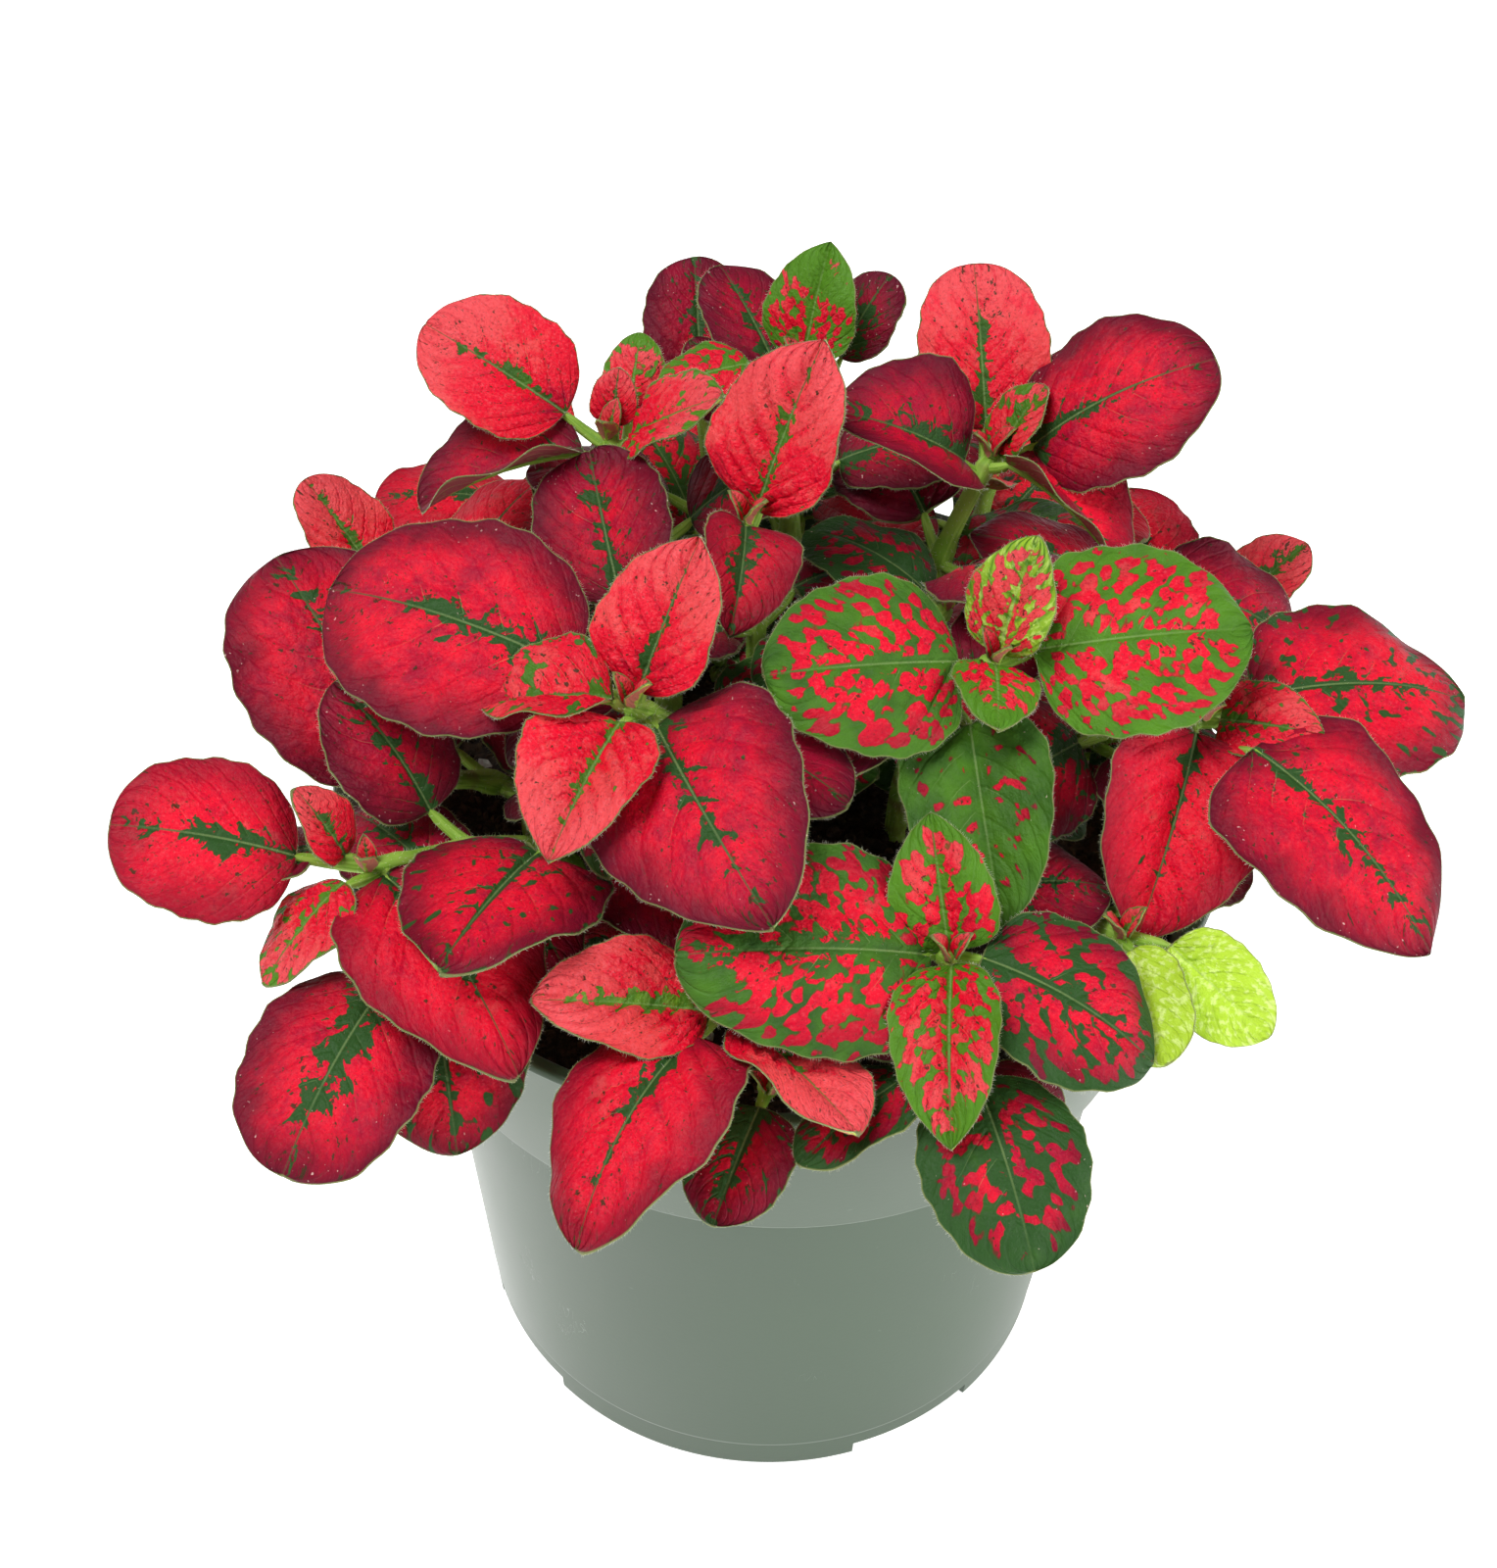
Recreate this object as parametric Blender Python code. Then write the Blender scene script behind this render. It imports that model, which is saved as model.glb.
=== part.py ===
"""A red splash polka dot plant growing in a round nursery pot.

The pot is a thin turned shell with a flared band under its rim and four feet.
Soil fills it to a finger's width below the rim. Each leafy stem stands in a
plain hole in the soil and carries opposite pairs of oval leaves, each pair a
quarter turn from the last. Every stem with its stalks and blades is one body.

Run with blender --background --python part.py, or from the text editor.
"""
import math
import random

import bmesh
import bpy
from mathutils import Matrix, Vector
from mathutils.bvhtree import BVHTree

MM = 0.001
GAP = 0.3 * MM

# The pot, from its outside sizes
RIM_RADIUS = 54.0 * MM
POT_HEIGHT = 93.5 * MM
BASE_RADIUS = 39.0 * MM
WALL_TOP_RADIUS = 44.1 * MM
BAND_FOOT = 64.0 * MM
BAND_STEP = 3.1 * MM
BAND_STEP_RISE = 1.4 * MM
BAND_TOP_RADIUS = 53.2 * MM
POT_WALL = 1.4 * MM
LIP_HEIGHT = 1.6 * MM
FOOT_HEIGHT = 2.6 * MM
FOOT_WIDTH = 1.9 * MM
FLOOR_THICKNESS = 1.8 * MM
PAD_RADIUS = 14.0 * MM
TURNED_SIDES = 36
NOTCHES = 4
NOTCH_FIRST = -58.0
NOTCH_ANGLE = 27.0
DRAIN_RADIUS = 3.6 * MM
DRAIN_RING = 31.5 * MM

# The soil
SOIL_TOP = 83.0 * MM
SOIL_DOME = 2.0 * MM
HOLE_DEPTH = 14.0 * MM
HOLE_SIDES = 6

# The stems and leaves
STEM_FOOT_RADIUS = 1.5 * MM
STEM_TIP_RADIUS = 1.0 * MM
STEM_SIDES = 5
STEM_PIECES = 4
STALK_RADIUS = 0.75 * MM
STALK_SIDES = 3
STALK_RISE = 20.0
BLADE_THICKNESS = 0.75 * MM
BELLY = 0.40
FULLNESS = 0.66
BASE_LOBE = 0.07
LARGE_LEAF = 17.0 * MM
LARGE_STEPS = 5
SMALL_STEPS = 4
STALK_SINK = 1.4 * MM
STALK_REACH = 0.14
CLEARANCE = 0.55 * MM
CROWDED_BASE = 0.18

# How a blade is bent: its arch along the midrib and the lift of its edges,
# both as a share of its length or half its width
FORMS = {
    "flat": (0.05, -0.06),
    "arched": (0.12, -0.12),
    "cupped": (0.03, 0.22),
    "folded": (0.07, 0.50),
}

# Each stem: its root on the soil and its growing tip, in millimetres from the
# pot's axis, then its leaves. A leaf is: how far below the tip it grows, the
# length of its stalk, its heading and rise in degrees, its length and width in
# millimetres, its roll in degrees and its form.
STEMS = {
    "stem_left": ((-24, -14), (-45, -31, 107), [
        (0, 8, 186, 18, 20, 18, -30, "arched"),
        (0, 3, 160, 58, 10, 8, 0, "cupped"),
        (1, 5, -128, -25, 14, 12, 20, "flat"),
        (1, 2, -54, -14, 28, 22, -8, "arched"),
        (3, 9, 184, -26, 15, 12, 10, "flat"),
    ]),
    "stem_left_back": ((-30, -4), (-43, -15, 104), [
        (0, 2, 127, 30, 29, 24, -8, "arched"),
    ]),
    "stem_left_front": ((-26, -24), (-41, -40, 101), [
        (0, 3, -112, -14, 24, 20, -5, "arched"),
        (4, 3, -77, -32, 20, 19, 0, "arched"),
    ]),
    "stem_middle": ((-10, -6), (-17, -20, 122), [
        (0, 2, 58, 48, 18, 15, -5, "cupped"),
        (0, 2, 172, -15, 15, 13, 0, "folded"),
        (2, 4, -133, -18, 18, 15, 0, "folded"),
        (4, 4, -64, -5, 30, 25, 25, "arched"),
        (5, 9, 157, 0, 31, 26, -24, "arched"),
    ]),
    "stem_crimson": ((-12, 2), (-19, 4, 114), [
        (0, 2, 104, 22, 20, 17, -20, "cupped"),
    ]),
    "stem_back_left": ((-14, 18), (-22, 28, 121), [
        (0, 6, 158, 22, 20, 17, -25, "cupped"),
        (2, 4, -165, -16, 21, 17, 15, "folded"),
        (0, 3, -20, 38, 15, 12, 15, "cupped"),
        (0, 2, 77, 60, 7, 6, 0, "cupped"),
        (3, 7, 80, 45, 10, 8, 0, "flat"),
    ]),
    "stem_centre": ((-3, 6), (-5, 9, 124), [
        (0, 2, 53, 55, 21, 17, 0, "cupped"),
        (0, 1, -97, -24, 14, 12, -25, "folded"),
    ]),
    "stem_back": ((0, 24), (1, 39, 124), [
        (0, 1, 68, 58, 15, 12, 0, "cupped"),
        (0, 7, -158, -6, 12, 10, -9, "flat"),
        (4, 8, 47, 42, 12, 10, 0, "flat"),
        (4, 6, 122, 26, 15, 12, 0, "flat"),
    ]),
    "stem_back_middle": ((-8, 26), (-11, 41, 117), [
        (0, 2, 96, 48, 17, 14, 0, "flat"),
    ]),
    "stem_back_right": ((15, 16), (24, 25, 122), [
        (0, 4, 98, 44, 20, 16, 0, "cupped"),
        (0, 5, 2, 32, 24, 21, 25, "arched"),
        (1, 3, 194, 30, 20, 18, -20, "folded"),
        (0, 3, -46, -8, 19, 15, -25, "folded"),
        (0, 1, 25, 47, 10, 8, 0, "cupped"),
    ]),
    "stem_right_middle": ((14, -3), (23, -9, 120), [
        (0, 1, 60, 59, 14, 11, -5, "cupped"),
        (1, 4, -163, 8, 23, 21, -30, "flat"),
        (1, 5, 9, 1, 25, 23, 28, "flat"),
        (0, 1, -92, 6, 12, 10, -10, "flat"),
        (9, 9, -80, -28, 24, 17, 20, "cupped"),
    ]),
    "stem_right": ((26, 0), (48, -6, 109), [
        (0, 4, -110, -28, 25, 20, -20, "folded"),
        (0, 2, -20, 8, 12, 11, 14, "cupped"),
        (2, 8, 13, -12, 28, 24, 14, "arched"),
        (4, 12, -44, -42, 30, 24, 5, "arched"),
        (10, 8, -138, 5, 20, 17, -35, "flat"),
    ]),
    "stem_front": ((10, -22), (18, -41, 106), [
        (0, 1, 104, 48, 15, 12, -15, "cupped"),
        (0, 1, -90, -24, 20, 12, 15, "folded"),
        (1, 2, -168, 11, 28, 23, -30, "arched"),
        (1, 4, -18, -26, 22, 19, 12, "arched"),
    ]),
    "stem_front_left": ((-4, -24), (-6, -45, 101), [
        (0, 2, -172, 12, 19, 15, -8, "cupped"),
        (0, 4, -50, 0, 18, 14, -22, "cupped"),
        (2, 8, -116, -8, 26, 21, 18, "arched"),
    ]),
    "stem_front_right": ((14, -34), (20, -48, 97), [
        (0, 3, -72, -16, 21, 18, 5, "arched"),
        (3, 5, -52, -50, 17, 14, 5, "arched"),
        (2, 7, -140, -14, 16, 12, 20, "flat"),
    ]),
    "stem_front_low": ((-1, -36), (-1, -50, 94), [
        (0, 3, -78, -34, 14, 12, 0, "flat"),
    ]),
    "stem_middle_low": ((-18, -14), (-26, -24, 105), [
        (0, 3, -100, -12, 25, 22, 0, "flat"),
        (6, 6, -45, -8, 18, 15, 0, "flat"),
    ]),
    "stem_right_back": ((28, 8), (42, 17, 109), [
        (0, 3, -4, -26, 20, 17, 20, "arched"),
        (0, 3, 170, 12, 18, 14, 0, "flat"),
    ]),
    "stem_inner_green": ((10, 8), (19, 9, 112), [
        (0, 3, 150, 6, 17, 13, 0, "arched"),
        (5, 5, -150, 0, 18, 15, 0, "flat"),
    ]),
    "stem_right_front": ((30, -18), (38, -30, 98), [
        (0, 3, -75, -40, 14, 10, 40, "flat"),
        (0, 6, -30, -30, 15, 11, 40, "flat"),
        (4, 6, 0, -10, 18, 15, 0, "arched"),
    ]),
}

# Stems of the far side and the inside, which follow one rule: root, tip and
# the heading of the top pair
RULED_STEMS = {
    "stem_far_left": ((-32, 12), (-50, 24, 100), 140),
    "stem_far_back_left": ((-22, 30), (-32, 50, 98), 115),
    "stem_far_back": ((2, 36), (-4, 56, 97), 80),
    "stem_far_back_right": ((22, 29), (27, 50, 99), 60),
    "stem_far_right": ((36, 16), (54, 24, 97), 30),
}
RULED_PAIRS = 3
RULED_SPACING = 8.0
RULED_STALK = 6.0
LEAF_SHAPE = 0.80

# The older pairs lower down every other stem, hidden by the leaves above
LOWER_FIRST = 13.0
LOWER_PAIRS = 2
LOWEST_JOINT = 3.0

TURNS = (0, 10, -10, 20, -20, 32, -32)
LIFTS = (0, 8, -8, 16, -16, 26, -26)
SHRINKS = (1.0, 0.85, 0.7)
SEED = 11


def material(name, colour, roughness, metallic=0.0):
    made = bpy.data.materials.new(name)
    made.use_nodes = True
    shader = made.node_tree.nodes["Principled BSDF"]
    shader.inputs["Base Color"].default_value = (*colour, 1.0)
    shader.inputs["Roughness"].default_value = roughness
    shader.inputs["Metallic"].default_value = metallic
    return made


def new_object(name, points, faces, finish=None):
    mesh = bpy.data.meshes.new(name)
    mesh.from_pydata([tuple(p) for p in points], [], faces)
    mesh.update()
    if finish:
        mesh.materials.append(finish)
    made = bpy.data.objects.new(name, mesh)
    bpy.context.scene.collection.objects.link(made)
    return made


def turned(name, profile, sides, finish=None):
    """A closed solid turned round Z from (radius, height) points, out of the axis and back to it."""
    bm = bmesh.new()
    rings = []
    for radius, height in profile:
        if radius < 1e-7:
            rings.append([bm.verts.new((0, 0, height))])
            continue
        angles = [math.tau * k / sides for k in range(sides)]
        rings.append([bm.verts.new((radius * math.cos(a), radius * math.sin(a), height)) for a in angles])
    for low, high in zip(rings, rings[1:]):
        for k in range(sides):
            after = (k + 1) % sides
            if len(low) == 1:
                bm.faces.new((low[0], high[after], high[k]))
            elif len(high) == 1:
                bm.faces.new((low[k], low[after], high[0]))
            else:
                bm.faces.new((low[k], low[after], high[after], high[k]))
    bmesh.ops.recalc_face_normals(bm, faces=bm.faces)
    mesh = bpy.data.meshes.new(name)
    bm.to_mesh(mesh)
    bm.free()
    if finish:
        mesh.materials.append(finish)
    made = bpy.data.objects.new(name, mesh)
    bpy.context.scene.collection.objects.link(made)
    return made


def boolean(target, others, operation, solver="EXACT"):
    """Applies one Boolean of all the others to the target, then removes them."""
    tools = bpy.data.collections.new("tools")
    bpy.context.scene.collection.children.link(tools)
    for other in others:
        bpy.context.scene.collection.objects.unlink(other)
        tools.objects.link(other)
    modifier = target.modifiers.new("join", "BOOLEAN")
    modifier.operation = operation
    modifier.operand_type = "COLLECTION"
    modifier.collection = tools
    modifier.solver = solver
    graph = bpy.context.evaluated_depsgraph_get()
    result = bpy.data.meshes.new_from_object(target.evaluated_get(graph))
    target.modifiers.remove(modifier)
    spent = target.data
    target.data = result
    bpy.data.meshes.remove(spent)
    for other in others:
        bpy.data.objects.remove(other)
    bpy.data.collections.remove(tools)


def band_radius(height):
    """The band's outer radius at a height."""
    low = BAND_FOOT + BAND_STEP_RISE
    share = (height - low) / (POT_HEIGHT - LIP_HEIGHT - low)
    foot = WALL_TOP_RADIUS + BAND_STEP
    return foot + share * (BAND_TOP_RADIUS - foot)


def wall_radius(height):
    """The lower wall's outer radius at a height."""
    return BASE_RADIUS + (height / BAND_FOOT) * (WALL_TOP_RADIUS - BASE_RADIUS)


def make_pot():
    finish = material("pot_plastic", (0.19, 0.24, 0.20), 0.4)
    floor_top = FOOT_HEIGHT + FLOOR_THICKNESS
    band_low = BAND_FOOT + BAND_STEP_RISE
    lip_low = POT_HEIGHT - LIP_HEIGHT
    foot_inner = BASE_RADIUS - FOOT_WIDTH
    outside = [
        (0, 0),
        (PAD_RADIUS, 0),
        (PAD_RADIUS + FOOT_HEIGHT * 0.4, FOOT_HEIGHT),
        (foot_inner, FOOT_HEIGHT),
        (foot_inner, 0),
        (BASE_RADIUS, 0),
        (WALL_TOP_RADIUS, BAND_FOOT),
        (WALL_TOP_RADIUS + BAND_STEP, band_low),
        (BAND_TOP_RADIUS, lip_low),
        (RIM_RADIUS, lip_low + LIP_HEIGHT * 0.4),
        (RIM_RADIUS - LIP_HEIGHT * 0.25, POT_HEIGHT),
    ]
    inside = [
        (BAND_TOP_RADIUS - POT_WALL * 0.8, POT_HEIGHT),
        (band_radius(lip_low) - POT_WALL, lip_low),
        (band_radius(band_low) - POT_WALL, band_low + POT_WALL),
        (WALL_TOP_RADIUS - POT_WALL, BAND_FOOT + POT_WALL),
        (wall_radius(floor_top) - POT_WALL, floor_top),
        (0, floor_top),
    ]
    pot = turned("pot", outside + inside, TURNED_SIDES, finish)
    cutters = []
    for k in range(NOTCHES):
        angle = math.radians(NOTCH_FIRST + k * 360 / NOTCHES)
        cutters.append(notch_cutter(angle, foot_inner))
        cutters.append(drain_cutter(angle, floor_top))
    boolean(pot, cutters, "DIFFERENCE")
    pot.data.shade_smooth()
    pot.data.set_sharp_from_angle(angle=math.radians(30))
    return pot


def notch_cutter(angle, foot_inner):
    """A wedge that takes one gap out of the foot ring."""
    half = math.radians(NOTCH_ANGLE) / 2
    inner = foot_inner - 0.5 * MM
    outer = BASE_RADIUS + 2 * MM
    outline = []
    for radius, turn in ((inner, -half), (outer, -half), (outer, half), (inner, half)):
        outline.append((radius * math.cos(angle + turn), radius * math.sin(angle + turn)))
    points = [(x, y, -MM) for x, y in outline] + [(x, y, FOOT_HEIGHT) for x, y in outline]
    faces = [(3, 2, 1, 0), (4, 5, 6, 7)]
    faces += [(k, (k + 1) % 4, 4 + (k + 1) % 4, 4 + k) for k in range(4)]
    return new_object("notch", points, faces)


def drain_cutter(angle, floor_top):
    """A round hole through the floor beside a notch."""
    cutter = turned("drain", [(0, 0), (DRAIN_RADIUS, 0), (DRAIN_RADIUS, floor_top + MM), (0, floor_top + MM)], 12)
    cutter.data.transform(Matrix.Translation((DRAIN_RING * math.cos(angle), DRAIN_RING * math.sin(angle), MM)))
    return cutter


def soil_height(x, y):
    """The soil's surface: a low dome with soft lumps."""
    spread = math.hypot(x, y) / RIM_RADIUS
    lumps = 0.5 * MM * math.sin(x / (6.1 * MM)) * math.cos(y / (5.3 * MM) + 1.0)
    return SOIL_TOP + SOIL_DOME * (1 - spread * spread) + lumps


def make_soil(roots):
    """Soil to below the rim, with one plain hole for each stem."""
    finish = material("soil", (0.035, 0.025, 0.018), 0.95)
    floor = FOOT_HEIGHT + FLOOR_THICKNESS + GAP
    band_low = BAND_FOOT + BAND_STEP_RISE
    profile = [
        (0, floor),
        (wall_radius(floor) - POT_WALL - GAP * 1.5, floor),
        (WALL_TOP_RADIUS - POT_WALL - GAP * 1.5, BAND_FOOT + POT_WALL + GAP),
        (band_radius(band_low) - POT_WALL - GAP * 1.5, band_low + POT_WALL + GAP * 1.5),
        (band_radius(SOIL_TOP) - POT_WALL - GAP * 2, SOIL_TOP - MM),
        (32 * MM, SOIL_TOP),
        (14 * MM, SOIL_TOP),
        (0, SOIL_TOP),
    ]
    soil = turned("soil", profile, TURNED_SIDES, finish)
    for vertex in soil.data.vertices:
        if vertex.co.z > SOIL_TOP - 0.5 * MM:
            vertex.co.z = soil_height(vertex.co.x, vertex.co.y)
    cutters = []
    radius = (STEM_FOOT_RADIUS + GAP) / math.cos(math.pi / HOLE_SIDES)
    low = SOIL_TOP - HOLE_DEPTH
    high = SOIL_TOP + 8 * MM
    for number, (x, y) in enumerate(roots):
        cutter = turned("hole_%02d" % number, [(0, low), (radius, low), (radius, high), (0, high)], HOLE_SIDES)
        cutter.data.transform(Matrix.Translation((x * MM, y * MM, 0)))
        cutters.append(cutter)
    boolean(soil, cutters, "DIFFERENCE")
    return soil


def stem_line(root, tip):
    """Points along a stem: upright in the soil, then leaning out to its tip."""
    foot = Vector((root[0] * MM, root[1] * MM, SOIL_TOP - HOLE_DEPTH + GAP))
    ground = Vector((foot.x, foot.y, SOIL_TOP + 4 * MM))
    end = Vector(tip) * MM
    bend = Vector((foot.x, foot.y, ground.z + (end.z - ground.z) * 0.6))
    line = [foot]
    for k in range(STEM_PIECES + 1):
        t = k / STEM_PIECES
        line.append(ground * (1 - t) ** 2 + bend * 2 * t * (1 - t) + end * t * t)
    return line


def along(line, drop):
    """The point this far below the top of a stem."""
    left = drop
    for upper, lower in zip(line[::-1], line[-2::-1]):
        step = (lower - upper).length
        if left <= step:
            return upper.lerp(lower, left / step)
        left -= step
    return line[0].copy()


def tube(line, radii, sides):
    """Points and faces of a closed tube through the points of a line."""
    points = []
    faces = []
    for k, centre in enumerate(line):
        before = line[max(k - 1, 0)]
        after = line[min(k + 1, len(line) - 1)]
        turn = (after - before).to_track_quat("Z", "Y")
        for s in range(sides):
            angle = math.tau * s / sides
            points.append(centre + turn @ Vector((math.cos(angle), math.sin(angle), 0)) * radii[k])
    for k in range(len(line) - 1):
        for s in range(sides):
            after = (s + 1) % sides
            faces.append((k * sides + s, k * sides + after, (k + 1) * sides + after, (k + 1) * sides + s))
    faces.append(tuple(range(sides))[::-1])
    faces.append(tuple(range((len(line) - 1) * sides, len(line) * sides)))
    return points, faces


def stem_tube(line):
    count = len(line)
    radii = []
    for k in range(count):
        share = max(k - 1, 0) / (count - 2)
        radii.append(STEM_FOOT_RADIUS + share * (STEM_TIP_RADIUS - STEM_FOOT_RADIUS))
    return tube(line, radii, STEM_SIDES)


def direction(heading, rise):
    flat = math.cos(math.radians(rise))
    return Vector((
        flat * math.cos(math.radians(heading)),
        flat * math.sin(math.radians(heading)),
        math.sin(math.radians(rise)),
    ))


class Leaf:
    """One blade on its stalk, placed from the joint of a stem where it grows."""

    def __init__(self, line, row):
        drop, stalk, heading, rise, length, width, roll, form = row
        self.line = line
        self.drop = drop
        self.stalk = stalk * MM
        self.heading = heading
        self.rise = rise
        self.length = length * MM
        self.width = width * MM
        self.roll = roll
        self.form = form
        self.foot = along(line, drop * MM + STALK_SINK)
        self.base = along(line, drop * MM) + direction(heading, STALK_RISE) * self.stalk

    def moved(self, turn, lift, shrink):
        """The same leaf turned and lifted a little at its joint."""
        row = (self.drop, self.stalk / MM, self.heading + turn, self.rise + lift,
               self.length / MM * shrink, self.width / MM * shrink, self.roll, self.form)
        return Leaf(self.line, row)

    def axes(self):
        """Unit vectors along the midrib, across the blade and out of its upper face."""
        ahead = direction(self.heading, self.rise)
        level = direction(self.heading + 90, 0)
        across = Matrix.Rotation(math.radians(self.roll), 3, ahead) @ level
        return ahead, across, ahead.cross(across)

    def point(self, u, v):
        """A point of the blade's middle surface: u from base to tip, v from side to side."""
        ahead, across, up = self.axes()
        arch, lift = FORMS[self.form]
        power = math.log(0.5) / math.log(BELLY)
        half = math.sin(math.pi * min(max(u, 0), 1) ** power) ** FULLNESS * self.width / 2
        back = BASE_LOBE * abs(v) * (1 - u) ** 2 * math.sin(math.pi * u) * 2
        rise = 4 * arch * u * (1 - u) * self.length + lift * half * abs(v)
        return self.base + ahead * (u - back) * self.length + across * v * half + up * rise

    def blade(self, thickness, start=0.0):
        """Points and triangles of the closed blade, split alike on both faces."""
        steps = LARGE_STEPS if self.length > LARGE_LEAF else SMALL_STEPS
        up = self.axes()[2] * thickness / 2
        middle = []
        index = []
        for k in range(steps + 1):
            u = start + (1 - start) * k / steps
            row = (0,) if k in (0, steps) else (-1, 0, 1)
            index.append([len(middle) + s for s in range(len(row))])
            middle += [self.point(u, v) for v in row]
        count = len(middle)
        points = [p + up for p in middle] + [p - up for p in middle]
        upper = []
        for low, high in zip(index, index[1:]):
            if len(low) == 1:
                upper += [(low[0], high[0], high[1]), (low[0], high[1], high[2])]
            elif len(high) == 1:
                upper += [(low[0], high[0], low[1]), (low[1], high[0], low[2])]
            else:
                upper += [(low[0], high[0], high[1]), (low[0], high[1], low[1])]
                upper += [(low[1], high[1], low[2]), (high[1], high[2], low[2])]
        faces = upper + [(a + count, c + count, b + count) for a, b, c in upper]
        left = [row[0] for row in index]
        right = [row[-1] for row in index]
        for a, b in zip(left, left[1:]):
            faces += [(a, b + count, b), (a, a + count, b + count)]
        for a, b in zip(right, right[1:]):
            faces += [(a, b, b + count), (a, b + count, a + count)]
        return points, faces

    def stalk_tube(self):
        """The stalk from inside the stem to inside the blade."""
        return tube([self.foot, self.point(STALK_REACH, 0)], [STALK_RADIUS, STALK_RADIUS * 0.8], STALK_SIDES)


def tree_of(points, faces):
    return BVHTree.FromPolygons([tuple(p) for p in points], faces)


def box_of(points):
    low = [min(p[i] for p in points) for i in range(3)]
    high = [max(p[i] for p in points) for i in range(3)]
    return low, high


def boxes_meet(a, b):
    return all(a[0][i] <= b[1][i] and b[0][i] <= a[1][i] for i in range(3))


class Placed:
    """What already stands somewhere, for the test of the next piece."""

    def __init__(self, stem, kind, points, faces):
        self.stem = stem
        self.kind = kind
        self.box = box_of(points)
        self.tree = tree_of(points, faces)


def is_above_soil(points):
    """True where no point inside the rim comes down to the soil."""
    inside = [p for p in points if math.hypot(p.x, p.y) < RIM_RADIUS]
    return all(p.z > soil_height(p.x, p.y) for p in inside)


def is_clear(leaf, stem, placed):
    """True where a leaf meets nothing, with room round it towards other stems."""
    blade = leaf.blade(BLADE_THICKNESS + 2 * CLEARANCE)
    if not is_above_soil(blade[0]):
        return False
    stalk = leaf.stalk_tube()
    blade_box = box_of(blade[0])
    stalk_box = box_of(stalk[0])
    blade_tree = tree_of(*blade)
    stalk_tree = tree_of(*stalk)
    outer_tree = tree_of(*leaf.blade(BLADE_THICKNESS, CROWDED_BASE))
    for other in placed:
        if other.stem == stem:
            if other.kind != "stalk" and boxes_meet(blade_box, other.box) and outer_tree.overlap(other.tree):
                return False
            continue
        if boxes_meet(blade_box, other.box) and blade_tree.overlap(other.tree):
            return False
        if boxes_meet(stalk_box, other.box) and stalk_tree.overlap(other.tree):
            return False
    return True


def settle(leaf, stem, placed):
    """The leaf bent clear of what stands already, or None where there is no room."""
    for shrink in SHRINKS:
        options = [(abs(t) + abs(l), t, l) for t in TURNS for l in LIFTS]
        for _, turn, lift in sorted(options):
            tried = leaf.moved(turn, lift, shrink)
            if is_clear(tried, stem, placed):
                return tried
    return None


def opposite_pair(drop, heading, rise, length, form, draw):
    """Two leaves facing away from each other at one joint of a stem."""
    rows = []
    for side in (0, 180):
        size = length + draw.uniform(-1.5, 1.5)
        turn = heading + side + draw.uniform(-12, 12)
        lift = rise + draw.uniform(-6, 6)
        stalk = RULED_STALK if drop else 2
        rows.append((drop, stalk, turn, lift, size, size * LEAF_SHAPE, draw.uniform(-8, 8), form))
    return rows


def ruled_rows(heading, draw):
    """Opposite pairs, each a quarter turn from the last and larger further down."""
    rows = []
    for pair in range(RULED_PAIRS):
        form = "cupped" if pair == 0 else "arched"
        rows += opposite_pair(RULED_SPACING * pair, heading + 90 * pair, 34 - 18 * pair, 15 + 4.5 * pair, form, draw)
    return rows


def lower_rows(root, tip, draw):
    """The older pairs low on a stem, the first of them across its lean."""
    lean = math.degrees(math.atan2(tip[1] - root[1], tip[0] - root[0]))
    free = tip[2] - SOIL_TOP / MM - LOWEST_JOINT
    rows = []
    for pair in range(LOWER_PAIRS):
        drop = LOWER_FIRST + RULED_SPACING * pair
        if drop < free:
            rows += opposite_pair(drop, lean + 90 + 90 * pair, 4, 19, "arched", draw)
    return rows


def add_leaves(name, rows, line, placed, grown):
    """Settles each row's leaf on its stem and says which found no room."""
    without = []
    for number, row in enumerate(rows):
        leaf = settle(Leaf(line, row), name, placed)
        if leaf is None:
            without.append((name, number))
            continue
        placed.append(Placed(name, "blade", *leaf.blade(BLADE_THICKNESS)))
        placed.append(Placed(name, "stalk", *leaf.stalk_tube()))
        grown[name].append(leaf)
    return without


def grow():
    """Every stem's line and the leaves that found room on it."""
    draw = random.Random(SEED)
    lines = {name: stem_line(root, tip) for name, (root, tip, _) in (STEMS | RULED_STEMS).items()}
    pot = bpy.data.objects["pot"].data
    placed = [Placed("pot", "pot", [v.co for v in pot.vertices], [tuple(p.vertices) for p in pot.polygons])]
    for name, line in lines.items():
        placed.append(Placed(name, "stem", *stem_tube(line)))
    grown = {name: [] for name in lines}
    without = []
    for name, (_, _, rows) in STEMS.items():
        without += add_leaves(name, rows, lines[name], placed, grown)
    for name, (_, _, heading) in RULED_STEMS.items():
        without += add_leaves(name, ruled_rows(heading, draw), lines[name], placed, grown)
    seen = len(without)
    for name, (root, tip, _) in STEMS.items():
        without += add_leaves(name, lower_rows(root, tip, draw), lines[name], placed, grown)
    print("no room for", without[:seen], "and", len(without) - seen, "of the lower leaves")
    return lines, grown


def make_stem(name, line, leaves):
    """One stem with its stalks and blades, joined in one body."""
    finish = material(name + "_leaf", (0.52, 0.03, 0.06), 0.5)
    stem = new_object(name, *stem_tube(line), finish)
    parts = []
    for number, leaf in enumerate(leaves):
        parts.append(new_object("%s_stalk_%d" % (name, number), *leaf.stalk_tube()))
        parts.append(new_object("%s_blade_%d" % (name, number), *leaf.blade(BLADE_THICKNESS)))
    boolean(stem, parts, "UNION", "MANIFOLD")
    return stem


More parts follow.
